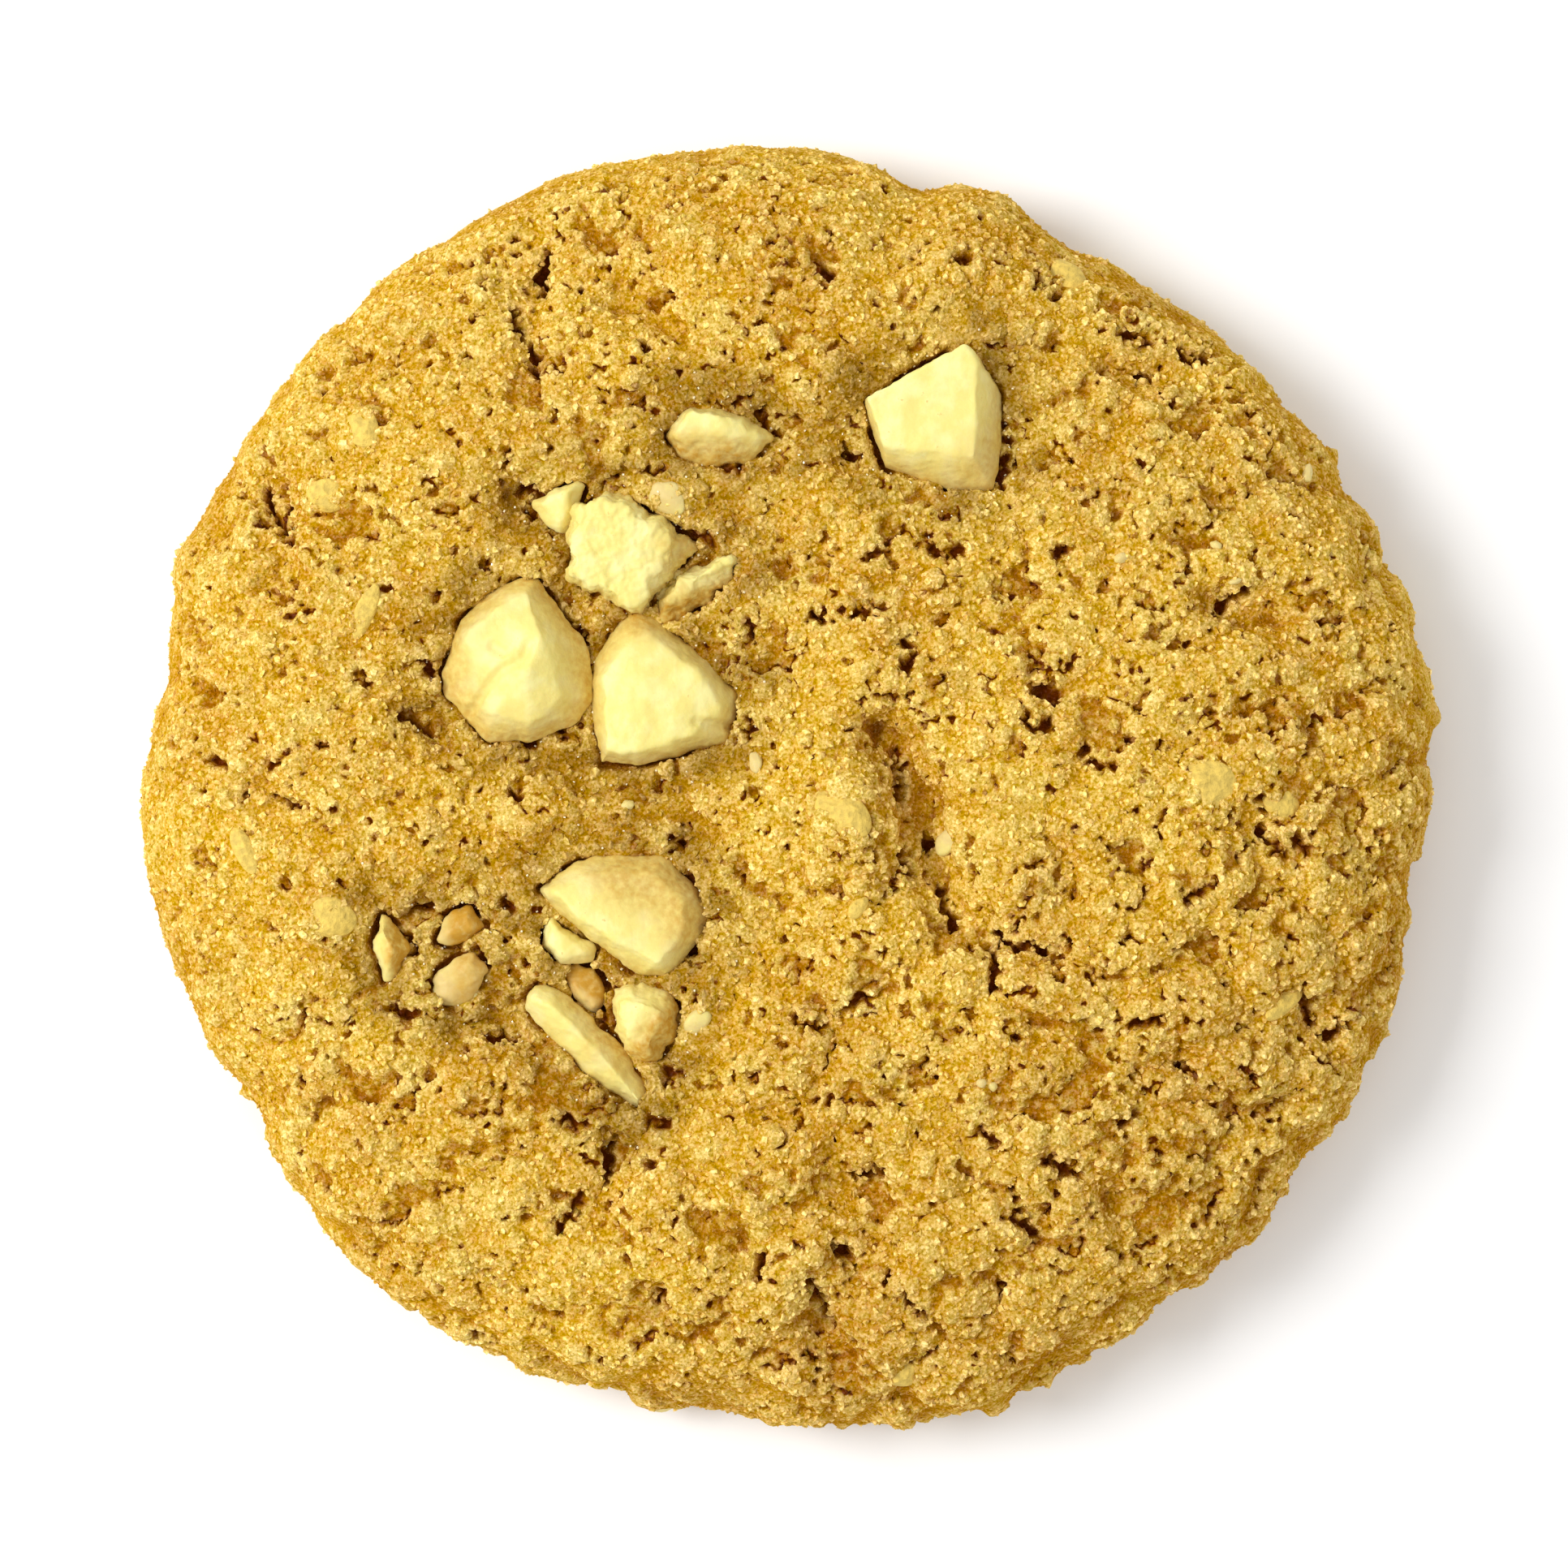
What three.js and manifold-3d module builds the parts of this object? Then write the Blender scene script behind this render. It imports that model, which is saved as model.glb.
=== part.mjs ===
// An oatmeal cookie with chopped nuts pressed into its crust.
// Millimetres, +Z up. The origin is the middle of the flat underside.
import * as THREE from "three";
import { ConvexGeometry } from "three/addons/geometries/ConvexGeometry.js";
import { ImprovedNoise } from "three/addons/math/ImprovedNoise.js";
import { mergeVertices } from "three/addons/utils/BufferGeometryUtils.js";
import Module from "manifold-3d";

const wasm = await Module();
wasm.setup();
const { degToRad, euclideanModulo, lerp, smoothstep } = THREE.MathUtils;

// Driving dimensions of the dough
const DIAMETER = 78.4;
const THICKNESS = 12.6;
const WIDEST_HEIGHT = 4.4;
const FOOT_INSET = 2.4;
const RIM = DIAMETER / 2;
const FOOT = RIM - FOOT_INSET;

// Half section from the middle of the top to the foot, as shares of the rim's radius and the thickness
const TOP_SECTION = [[0, 1], [0.35, 1], [0.62, 0.98], [0.8, 0.9], [0.92, 0.74], [0.985, 0.53]];
const FOOT_SECTION = [0.985, 0.14];

// The skin is rings of triangles from the middle of the top, over the rim, to the foot
const RINGS = 36;
const POINT_JITTER = 0.22;

// Where the rim swells or draws in: degrees from +X, half spread in degrees, millimetres outwards
const RIM_BULGES = [
  { at: 10, spread: 9, out: 0.8 },
  { at: 64, spread: 24, out: -1.4 },
  { at: 71, spread: 4, out: 1.4 },
  { at: 78, spread: 3, out: -0.8 },
  { at: 120, spread: 30, out: 0.8 },
  { at: 160, spread: 3, out: 0.8 },
  { at: 170, spread: 4, out: -0.6 },
  { at: 186, spread: 10, out: 0.5 },
  { at: 212, spread: 5, out: -1.3 },
  { at: 246, spread: 28, out: -0.3 },
  { at: 289, spread: 5, out: 0.6 },
  { at: 315, spread: 4, out: 0.5 },
  { at: 322, spread: 3, out: -0.6 },
  { at: 348, spread: 6, out: -0.9 },
];

// Relief of the crust: width and height of each kind of unevenness
const SWELL = { width: 21, height: 0.7, layer: 0.4 };
const LUMP = { width: 6.6, height: 1.0, groove: 1.1, warp: 1.3, layers: [3.3, 8.7] };
const GRAIN = { width: 2.3, height: 0.5, layer: 5.1 };

// The crags are strongest towards the near right, and keep this share of their height at the far left
const CRAG_SIDE = { towards: new THREE.Vector2(0.5, -0.6), from: -14, to: 20, least: 0.45 };

// Broad rises and dips of the top
const RISES = [
  { at: [17, -4], spread: 13, height: 0.8 },
  { at: [-10, 0], spread: 12, height: -0.7 },
  { at: [-13, -12], spread: 6, height: -0.6 },
  { at: [3.6, -1.6], spread: 4, height: 0.9 },
];

// Splits and hollows in the crust, each along its own short path
const SPLITS = [
  { path: [[6.4, 3.4], [7.9, 0.2], [9.0, -4.0], [10.0, -7.2]], width: 3.6, depth: 2.8 },
  { path: [[-14.6, 31.6], [-14.9, 28.6], [-15.1, 25.2]], width: 2.0, depth: 1.9 },
  { path: [[-10.6, 30.2], [-8.0, 28.0]], width: 4.4, depth: 1.5 },
  { path: [[-30.6, 17.6], [-29.6, 16.0]], width: 2.2, depth: 1.5 },
  { path: [[-16.2, 17.4], [-15.2, 16.6]], width: 2.4, depth: 1.8 },
  { path: [[-31.6, -0.4], [-29.4, -1.4]], width: 2.2, depth: 1.5 },
  { path: [[-23.0, 4.6], [-21.0, 3.4]], width: 2.2, depth: 1.5 },
  { path: [[-20.6, -15.2], [-16.6, -15.0]], width: 2.4, depth: 1.6 },
  { path: [[12.6, -9.0], [16.4, -10.2]], width: 2.2, depth: 1.7 },
  { path: [[2.6, -31.6], [2.2, -33.4], [3.6, -34.6]], width: 2.6, depth: 1.8 },
  { path: [[4.4, -27.4], [4.6, -29.4]], width: 2.0, depth: 1.6 },
  { path: [[5.3, -23.0], [6.0, -24.6]], width: 2.2, depth: 1.4 },
  { path: [[-10.2, -22.0], [-11.2, -26.6]], width: 2.0, depth: 1.5 },
  { path: [[20.4, 26.2], [25.2, 25.6]], width: 2.0, depth: 1.3 },
  { path: [[25.8, 10.4], [30.0, 9.8]], width: 2.2, depth: 1.3 },
  { path: [[13.8, 22.4], [13.9, 19.0]], width: 2.0, depth: 1.4 },
  { path: [[4.2, 21.4], [3.6, 19.6]], width: 2.4, depth: 1.1 },
  { path: [[-1.4, 22.6], [0.2, 21.6]], width: 2.8, depth: 1.3 },
  { path: [[30.6, -12.4], [31.4, -14.2]], width: 2.2, depth: 1.2 },
  { path: [[18.8, -24.0], [20.2, -25.2]], width: 2.2, depth: 1.2 },
  { path: [[23.6, -16.8], [25.4, -18.2]], width: 2.0, depth: 1.2 },
];

// Nuts: outline where the nut is widest, height of that belt and of the crown's points above the crust,
// and depth of the root below it
const NUT_ROOT_TAPER = 0.72;
const NUT_GAP = 0.3;
const POCKET_CLEARANCE = 6;
const NUT_DIP = { spread: 2.4, depth: 0.7 };
const NUTS = [
  {
    name: "nut_wedge", belt: 0.3, depth: 3, colour: 0xf6e796,
    outline: [[5, 23.1], [10.8, 26.3], [11.8, 25.5], [12.9, 23.4], [12.9, 19.7], [12.5, 17.8], [10.1, 17.8],
      [6.2, 19.1], [5.3, 21.6]],
    crown: [[5.1, 23.1, 2.5], [10.8, 26.2, 2.7], [11.5, 25.1, 2.8], [11.3, 19.6, 2.9], [9.4, 20, 2.8],
      [6.1, 20.3, 2.5]],
  },
  {
    name: "nut_nub", belt: 0.1, depth: 2.6, colour: 0xf3e38f,
    outline: [[-6.9, 21], [-5.5, 22.8], [-3.8, 22.4], [-1.2, 21.4], [-0.8, 20.9], [-1.9, 19.6], [-4.8, 19.1],
      [-6.3, 19.7]],
    crown: [[-6.3, 21.1, 1.7], [-5.4, 22.3, 1.9], [-3.9, 22, 2], [-3.4, 20.9, 1.9], [-1.5, 20.8, 1.1]],
  },
  {
    name: "nut_crumbly", belt: 0.2, depth: 2.8, colour: 0xf1de8d,
    outline: [[-12.35, 16.5], [-11, 17.1], [-9.5, 17], [-6.3, 15.1], [-5.5, 14.4], [-6.1, 13.5],
      [-8.3, 10.85], [-9.3, 10.8], [-11.6, 12.1], [-12.8, 12.5], [-12.7, 14]],
    crown: [[-12.1, 16.2, 2.1], [-10.8, 16.7, 2.3], [-9.3, 16.3, 2.4], [-7.2, 14.6, 2.2], [-8.5, 11.2, 2],
      [-9.4, 11.1, 2], [-12.4, 12.8, 2]],
  },
  {
    name: "nut_point", belt: 0.2, depth: 2, colour: 0xf0e0a4,
    outline: [[-14.9, 16.9], [-12.9, 17.9], [-12.2, 17.75], [-13.3, 15.3], [-13.7, 15.3]],
    crown: [[-14.4, 16.8, 1], [-13, 17.5, 1.2], [-13.5, 15.9, 1.1]],
  },
  {
    name: "nut_curl", belt: 0.1, depth: 2.2, colour: 0xeed884,
    outline: [[-7.2, 11.3], [-5.4, 12.85], [-3.2, 13.5], [-3.3, 12.8], [-4, 11.7], [-5, 10.9], [-6.3, 10.1],
      [-6.9, 9.95], [-7.3, 10.7]],
    crown: [[-6.7, 11.2, 1.6], [-5.2, 12.3, 1.8], [-3.6, 13.2, 1.6]],
  },
  {
    name: "nut_dome", belt: 0.3, depth: 3.4, colour: 0xf3e99c,
    outline: [[-20.5, 6.5], [-19.4, 9.7], [-17.8, 11.3], [-15.9, 12.1], [-14.9, 12.1], [-12.2, 8.4],
      [-11.85, 6.9], [-11.85, 5.1], [-12.8, 3.9], [-15.4, 2.7], [-17.9, 2.9], [-20.3, 5.7]],
    crown: [[-18.9, 8.6, 2.2], [-17.2, 10.3, 2.4], [-15.4, 11.2, 2.3], [-14.6, 8.8, 3.2], [-15.4, 6.6, 3.4],
      [-17.4, 4.4, 2.4], [-15.2, 3.8, 2.3], [-13.4, 5.4, 2.4]],
  },
  {
    name: "nut_cheek", belt: 0.3, depth: 3.2, colour: 0xf5e895,
    outline: [[-11.4, 6], [-11.2, 7.5], [-9.9, 9.6], [-8.9, 10.2], [-8, 10.1], [-4.7, 7.4], [-2.9, 5.5],
      [-3.1, 3.7], [-3.5, 2.6], [-5.7, 2], [-8.8, 1.4], [-10.9, 1.4], [-11.3, 4]],
    crown: [[-10.7, 6.4, 2.3], [-9, 8.6, 2.1], [-8, 8.8, 2.1], [-5.2, 6.6, 2.3], [-4, 4.7, 2.1],
      [-5.6, 3.1, 2.3], [-8.6, 2.2, 2.5], [-10.4, 2.2, 2.4], [-8, 5.2, 2.9]],
  },
  {
    name: "nut_slab", belt: 0.1, depth: 3, colour: 0xe9d67f,
    outline: [[-14.6, -6.4], [-12.4, -4.8], [-10.8, -4.4], [-8, -4.4], [-7, -4.7], [-5.2, -6.5], [-4.7, -7.8],
      [-5.3, -9.5], [-7, -11.5], [-8.9, -11.4], [-13.4, -7.85]],
    crown: [[-13.6, -6.5, 1.7], [-11.4, -5.6, 1.6], [-8.2, -5.3, 1.5], [-6.2, -7, 1.8], [-6.2, -8.6, 2.1],
      [-7.6, -10.7, 2.2], [-10.4, -9, 2.3], [-12.6, -7.6, 2.1]],
  },
  {
    name: "nut_chip", belt: 0.1, depth: 2, colour: 0xf2df87,
    outline: [[-13.95, -8.1], [-14.2, -8.5], [-14.4, -9.7], [-13.5, -10.6], [-11.8, -10.55], [-11.5, -9.95],
      [-12.6, -9.1]],
    crown: [[-13.8, -8.6, 0.9], [-13.9, -9.6, 0.9], [-13.1, -10.2, 0.9], [-12.1, -10.1, 0.8]],
  },
  {
    name: "nut_stick", belt: 0, depth: 2.4, colour: 0xf0da82,
    outline: [[-15.5, -13.6], [-15.4, -12.9], [-14.9, -12.3], [-14.3, -12.1], [-13.8, -12.3], [-11.7, -14.1],
      [-10.4, -15.4], [-9.3, -16.7], [-8.1, -18.6], [-8.9, -19.7], [-11.5, -17.8], [-14.1, -15]],
    crown: [[-14.9, -13, 1.2], [-13.6, -13.6, 1.5], [-11, -16.3, 1.5], [-8.9, -18.9, 1]],
  },
  {
    name: "nut_chunk", belt: 0.1, depth: 2.6, colour: 0xeed580,
    outline: [[-10.3, -13.5], [-10.1, -12.5], [-8.6, -12.4], [-7.2, -12.7], [-6.7, -13.3], [-6.6, -14.4],
      [-7, -15.6], [-7.7, -16.5], [-8.6, -16.4], [-10.1, -14.9]],
    crown: [[-9.7, -13.3, 1.5], [-8.4, -13.2, 1.9], [-7.4, -13.8, 1.9], [-8.2, -15.8, 1.6],
      [-9.4, -14.8, 1.6]],
  },
  {
    name: "nut_tucked", belt: -0.2, depth: 2.2, colour: 0xcdb277,
    outline: [[-13.3, -11.6], [-12.5, -11.05], [-11.6, -11.3], [-10.95, -12.25], [-11, -13.2],
      [-11.35, -13.75], [-12.05, -13.35], [-12.65, -12.75]],
    crown: [[-12.6, -11.8, 0.2], [-11.5, -12.2, 0.1], [-11.5, -13.2, 0.5], [-12.4, -12.5, 0.5]],
  },
  {
    name: "nut_splinter", belt: 0, depth: 2, colour: 0xf3dc81,
    outline: [[-24.2, -8], [-24.7, -9.5], [-24, -11.7], [-23.6, -11.6], [-22.6, -10], [-23.5, -8.5]],
    crown: [[-24.1, -8.8, 1], [-23.5, -10, 1.3], [-23.8, -11.1, 0.8]],
  },
  {
    name: "nut_flint", belt: 0, depth: 2, colour: 0xd9a547,
    outline: [[-20.8, -9.4], [-20.3, -8.2], [-19.1, -7.4], [-18.1, -8.6], [-19.6, -9.5]],
    crown: [[-20.2, -9, 0.7], [-19.1, -8, 0.8], [-18.8, -8.7, 0.8]],
  },
  {
    name: "nut_oval", belt: -0.1, depth: 2, colour: 0xd3b676,
    outline: [[-21.2, -11.8], [-20, -10.7], [-18.8, -10.2], [-17.9, -11.3], [-19.1, -12.9], [-20, -13.3],
      [-21, -12.9]],
    crown: [[-20.4, -12, 0.4], [-19, -11, 0.5], [-18.7, -11.8, 0.4], [-20, -12.7, 0.4]],
  },
];

// Thin oval plates: oat flakes and slivers
const PLATE_SIDES = 8;
const PLATE_TAPER = 0.84;

// Oat flakes on the top that show in their own place: place, length, width and turn in degrees
const FLAKE_THICKNESS = 0.8;
const FLAKE_PROUD = 0.3;
const PLACED_FLAKES = [
  { at: [-25.4, 21.6], length: 3, width: 2, turn: 70 },
  { at: [-27.6, 17.4], length: 2.8, width: 2, turn: 20 },
  { at: [-25.6, 10.4], length: 4.4, width: 1.6, turn: 38 },
  { at: [-32.6, -4], length: 3.4, width: 1.6, turn: 22 },
  { at: [-27.3, -8.1], length: 3.4, width: 2.8, turn: 0 },
  { at: [-7, 17.9], length: 3, width: 2, turn: -20 },
  { at: [25.1, -0.4], length: 4.4, width: 3.6, turn: 60 },
  { at: [29.9, -1], length: 2.4, width: 1.8, turn: 10 },
  { at: [17.4, 30.6], length: 3.4, width: 2.2, turn: -10 },
  { at: [3.6, -1.9], length: 4.6, width: 3.4, turn: 65 },
];

// More flakes, spread by a seeded rule where the top is free
const SPREAD_FLAKES = 18;
const SPREAD_SEED = 41;
const SPREAD_RADIUS = RIM * 0.84;
const SPREAD_SPACING = 6;
const SPREAD_LENGTH = [2.6, 4.2];
const SPREAD_WIDTH_SHARE = [0.55, 0.8];

// A thin nut sliver that stands out under the rim
const RIM_SLIVER = {
  at: [-8, -37.9, 3], length: 3.6, width: 2.4, turn: 8, thickness: 0.9,
  up: new THREE.Vector3(-0.1, -0.4, 1).normalize(),
};

// Finishes
const DOUGH_COLOUR = 0xd2a343;
const DOUGH_ROUGHNESS = 0.85;
const NUT_ROUGHNESS = 0.5;

// Seeded draws between 0 and 1: one for each lattice cell, and one in a row
function cellDraw(column, row, salt) {
  let mixed = Math.imul(column, 374761393) ^ Math.imul(row, 668265263) ^ Math.imul(salt, 362437);
  mixed = Math.imul(mixed ^ (mixed >>> 13), 1274126177);
  return ((mixed ^ (mixed >>> 16)) >>> 0) / 2 ** 32;
}

function makeDraws(seed) {
  let count = 0;
  return () => cellDraw(count++, seed, 7);
}

// Relief of the crust, from a place on the skin laid flat
const noise = new ImprovedNoise();

function wave(x, y, width, layer) {
  return noise.noise(x / width, y / width, layer);
}

function hump(distance, spread) {
  return Math.exp(-((distance / spread) ** 2));
}

function rimRadius(turn) {
  return RIM_BULGES.reduce((radius, bulge) => {
    const apart = euclideanModulo(turn - degToRad(bulge.at) + Math.PI, 2 * Math.PI) - Math.PI;
    return radius + bulge.out * hump(apart, degToRad(bulge.spread));
  }, RIM);
}

function grooveDistance(x, y) {
  const warpedX = x + LUMP.warp * wave(x, y, LUMP.width, LUMP.layers[0]);
  const warpedY = y + LUMP.warp * wave(x, y, LUMP.width, LUMP.layers[1]);
  const column = Math.floor(warpedX / LUMP.width);
  const row = Math.floor(warpedY / LUMP.width);
  const distances = [];
  for (let i = column - 1; i <= column + 1; i++) {
    for (let j = row - 1; j <= row + 1; j++) {
      const lumpX = (i + cellDraw(i, j, 1)) * LUMP.width;
      const lumpY = (j + cellDraw(i, j, 2)) * LUMP.width;
      distances.push(Math.hypot(warpedX - lumpX, warpedY - lumpY));
    }
  }
  const [nearest, second] = distances.sort((a, b) => a - b);
  return second - nearest;
}

function cragShare(x, y) {
  const { towards, from, to, least } = CRAG_SIDE;
  return lerp(least, 1, smoothstep(towards.x * x + towards.y * y, from, to));
}

function distanceToPath(x, y, path) {
  const place = new THREE.Vector3(x, y, 0);
  const closest = new THREE.Vector3();
  const corners = path.map(([px, py]) => new THREE.Vector3(px, py, 0));
  const distances = corners.slice(1).map((end, k) => {
    new THREE.Line3(corners[k], end).closestPointToPoint(place, true, closest);
    return closest.distanceTo(place);
  });
  return Math.min(...distances);
}

function outlineCentre(outline) {
  const total = outline.reduce(([sumX, sumY], [x, y]) => [sumX + x, sumY + y], [0, 0]);
  return total.map((sum) => sum / outline.length);
}

function outlineReach(outline) {
  const [centreX, centreY] = outlineCentre(outline);
  return Math.max(...outline.map(([x, y]) => Math.hypot(x - centreX, y - centreY)));
}

function crust(x, y) {
  const lump = LUMP.height * cragShare(x, y) * (1 - hump(grooveDistance(x, y), LUMP.groove));
  let lift = lump - LUMP.height / 2;
  for (const { width, height, layer } of [SWELL, GRAIN]) {
    lift += height * wave(x, y, width, layer);
  }
  for (const { at, spread, height } of RISES) {
    lift += height * hump(Math.hypot(x - at[0], y - at[1]), spread);
  }
  for (const { path, width, depth } of SPLITS) {
    lift -= depth * hump(distanceToPath(x, y, path), width / 2);
  }
  const dips = NUTS.map(({ outline }) => {
    const [nutX, nutY] = outlineCentre(outline);
    return hump(Math.hypot(x - nutX, y - nutY), outlineReach(outline) + NUT_DIP.spread);
  });
  return lift - NUT_DIP.depth * Math.max(...dips);
}

// Skin of the dough: its half section as a curve, turned about +Z and lifted by the relief
const sectionPoint = ([rimShare, heightShare]) => new THREE.Vector2(rimShare * RIM, heightShare * THICKNESS);
const profile = new THREE.SplineCurve([
  ...TOP_SECTION.map(sectionPoint),
  new THREE.Vector2(RIM, WIDEST_HEIGHT),
  sectionPoint(FOOT_SECTION),
  new THREE.Vector2(FOOT, 0),
]);
const SKIN_REACH = profile.getLength();
const FOOT_FADE = [0.9, 1];

function skinPoint(reach, turn) {
  const share = Math.min(reach / SKIN_REACH, 1);
  const { x: radius, y: height } = profile.getPointAt(share);
  const slope = profile.getTangentAt(share);
  const fade = 1 - smoothstep(share, ...FOOT_FADE);
  const lift = fade * crust(reach * Math.cos(turn), reach * Math.sin(turn));
  const out = (radius * rimRadius(turn)) / RIM - lift * slope.y;
  return new THREE.Vector3(out * Math.cos(turn), out * Math.sin(turn), height + lift * slope.x);
}

function crustHeight([x, y]) {
  return skinPoint(Math.hypot(x, y), Math.atan2(y, x)).z;
}

// Upward direction of the crust over a span around a place
function crustNormal([x, y], span) {
  const riseX = crustHeight([x + span, y]) - crustHeight([x - span, y]);
  const riseY = crustHeight([x, y + span]) - crustHeight([x, y - span]);
  return new THREE.Vector3(-riseX, -riseY, 2 * span).normalize();
}

// Skin and flat underside as one closed mesh: ring k has 6k points, and a fan closes the foot
function doughGeometry() {
  const draws = makeDraws(SPREAD_SEED);
  const points = [skinPoint(0, 0)];
  for (let ring = 1; ring <= RINGS; ring++) {
    const around = 6 * ring;
    const jitter = ring < RINGS ? POINT_JITTER : 0;
    for (let k = 0; k < around; k++) {
      const reach = ((ring + jitter * (2 * draws() - 1)) * SKIN_REACH) / RINGS;
      points.push(skinPoint(reach, ((k + jitter * (2 * draws() - 1)) * 2 * Math.PI) / around));
    }
  }
  const underside = points.push(new THREE.Vector3(0, 0, 0)) - 1;

  const ringPoint = (ring, k) => (ring === 0 ? 0 : 1 + 3 * ring * (ring - 1) + (k % (6 * ring)));
  const triangles = [];
  for (let ring = 1; ring <= RINGS; ring++) {
    for (let sector = 0; sector < 6; sector++) {
      for (let step = 0; step < ring; step++) {
        const outer = ringPoint(ring, sector * ring + step);
        const outerNext = ringPoint(ring, sector * ring + step + 1);
        const inner = ringPoint(ring - 1, sector * (ring - 1) + step);
        triangles.push(inner, outer, outerNext);
        if (step < ring - 1) {
          triangles.push(inner, outerNext, ringPoint(ring - 1, sector * (ring - 1) + step + 1));
        }
      }
    }
  }
  for (let k = 0; k < 6 * RINGS; k++) {
    triangles.push(ringPoint(RINGS, k + 1), ringPoint(RINGS, k), underside);
  }
  const geometry = new THREE.BufferGeometry().setFromPoints(points);
  geometry.setIndex(triangles);
  return geometry;
}

// Closed mesh to solid and back
function toSolid(geometry) {
  const bare = geometry.clone();
  bare.deleteAttribute("normal");
  bare.deleteAttribute("uv");
  const merged = mergeVertices(bare);
  const vertProperties = new Float32Array(merged.attributes.position.array);
  const triVerts = new Uint32Array(merged.index.array);
  return new wasm.Manifold(new wasm.Mesh({ numProp: 3, vertProperties, triVerts }));
}

function toGeometry(solid) {
  const { vertProperties, triVerts } = solid.getMesh();
  const geometry = new THREE.BufferGeometry();
  geometry.setAttribute("position", new THREE.BufferAttribute(vertProperties, 3));
  geometry.setIndex(new THREE.BufferAttribute(triVerts, 1));
  geometry.computeVertexNormals();
  return geometry;
}

// Outline of a nut at one height, tapered towards its middle
function outlineAt(outline, height, taper = 1) {
  const [centreX, centreY] = outlineCentre(outline);
  return outline.map(([x, y]) => {
    return new THREE.Vector3(centreX + taper * (x - centreX), centreY + taper * (y - centreY), height);
  });
}

function nutGeometry({ outline, crown, belt, depth }) {
  const seat = crustHeight(outlineCentre(outline));
  return new ConvexGeometry([
    ...outlineAt(outline, seat - depth, NUT_ROOT_TAPER),
    ...outlineAt(outline, seat + belt),
    ...crown.map(([x, y, height]) => new THREE.Vector3(x, y, seat + height)),
  ]);
}

// Room for a nut, open upwards so that no crust closes over it
function nutPocket({ outline, belt, depth }) {
  const seat = crustHeight(outlineCentre(outline));
  const steps = [[-NUT_GAP, 0], [NUT_GAP, 0], [0, -NUT_GAP], [0, NUT_GAP]];
  const sides = outline.flatMap(([x, y]) => steps.map(([stepX, stepY]) => [x + stepX, y + stepY]));
  return new ConvexGeometry([
    ...outlineAt(sides, seat - depth - NUT_GAP, NUT_ROOT_TAPER),
    ...outlineAt(sides, seat + belt),
    ...outlineAt(sides, seat + POCKET_CLEARANCE),
  ]);
}

// A thin oval plate, flat on a place with the given upward direction
function plateGeometry({ length, width, turn, thickness }, place, up) {
  const plate = new THREE.CylinderGeometry(0.5, 0.5 * PLATE_TAPER, thickness, PLATE_SIDES);
  plate.rotateX(Math.PI / 2);
  plate.scale(length, width, 1);
  plate.rotateZ(degToRad(turn));
  plate.applyQuaternion(new THREE.Quaternion().setFromUnitVectors(new THREE.Vector3(0, 0, 1), up));
  plate.translate(...place);
  return plate;
}

// One oat flake, lying on the crust and partly sunk in it
function flakeGeometry({ at, length, width, turn }) {
  const height = crustHeight(at) + FLAKE_PROUD - FLAKE_THICKNESS / 2;
  const flake = { length, width, turn, thickness: FLAKE_THICKNESS };
  return plateGeometry(flake, [...at, height], crustNormal(at, length / 2));
}

// Is a flake of this length clear of every nut?
function clearOfNuts([x, y], length) {
  return NUTS.every(({ outline }) => {
    const [nutX, nutY] = outlineCentre(outline);
    return Math.hypot(x - nutX, y - nutY) > outlineReach(outline) + length / 2 + 2 * NUT_GAP;
  });
}

function spreadFlakes() {
  const draws = makeDraws(SPREAD_SEED + 1);
  const flakes = [...PLACED_FLAKES];
  while (flakes.length < PLACED_FLAKES.length + SPREAD_FLAKES) {
    const reach = SPREAD_RADIUS * Math.sqrt(draws());
    const turn = 2 * Math.PI * draws();
    const at = [reach * Math.cos(turn), reach * Math.sin(turn)];
    const length = lerp(...SPREAD_LENGTH, draws());
    const width = length * lerp(...SPREAD_WIDTH_SHARE, draws());
    const apart = ({ at: [x, y] }) => Math.hypot(at[0] - x, at[1] - y) > SPREAD_SPACING;
    if (flakes.every(apart) && clearOfNuts(at, length)) {
      flakes.push({ at, length, width, turn: 180 * draws() });
    }
  }
  return flakes;
}

// Dough with its flakes fused on and a pocket for each nut, without loose scraps
function doughSolid() {
  let solid = toSolid(doughGeometry());
  for (const flake of spreadFlakes()) {
    solid = solid.add(toSolid(flakeGeometry(flake)));
  }
  solid = solid.add(toSolid(plateGeometry(RIM_SLIVER, RIM_SLIVER.at, RIM_SLIVER.up)));
  for (const nut of NUTS) {
    solid = solid.subtract(toSolid(nutPocket(nut)));
  }
  return solid.decompose().sort((a, b) => b.volume() - a.volume())[0];
}

function piece(name, geometry, color, roughness) {
  const mesh = new THREE.Mesh(geometry, new THREE.MeshStandardMaterial({ color, roughness, metalness: 0 }));
  mesh.name = name;
  return mesh;
}

const cookie = new THREE.Group();
cookie.add(piece("dough", toGeometry(doughSolid()), DOUGH_COLOUR, DOUGH_ROUGHNESS));
for (const nut of NUTS) {
  cookie.add(piece(nut.name, nutGeometry(nut), nut.colour, NUT_ROUGHNESS));
}

export default cookie;
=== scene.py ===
"""An oatmeal cookie with chopped nuts: crust, nuts, oat flakes and crumbs over the solid model."""

import math

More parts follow.
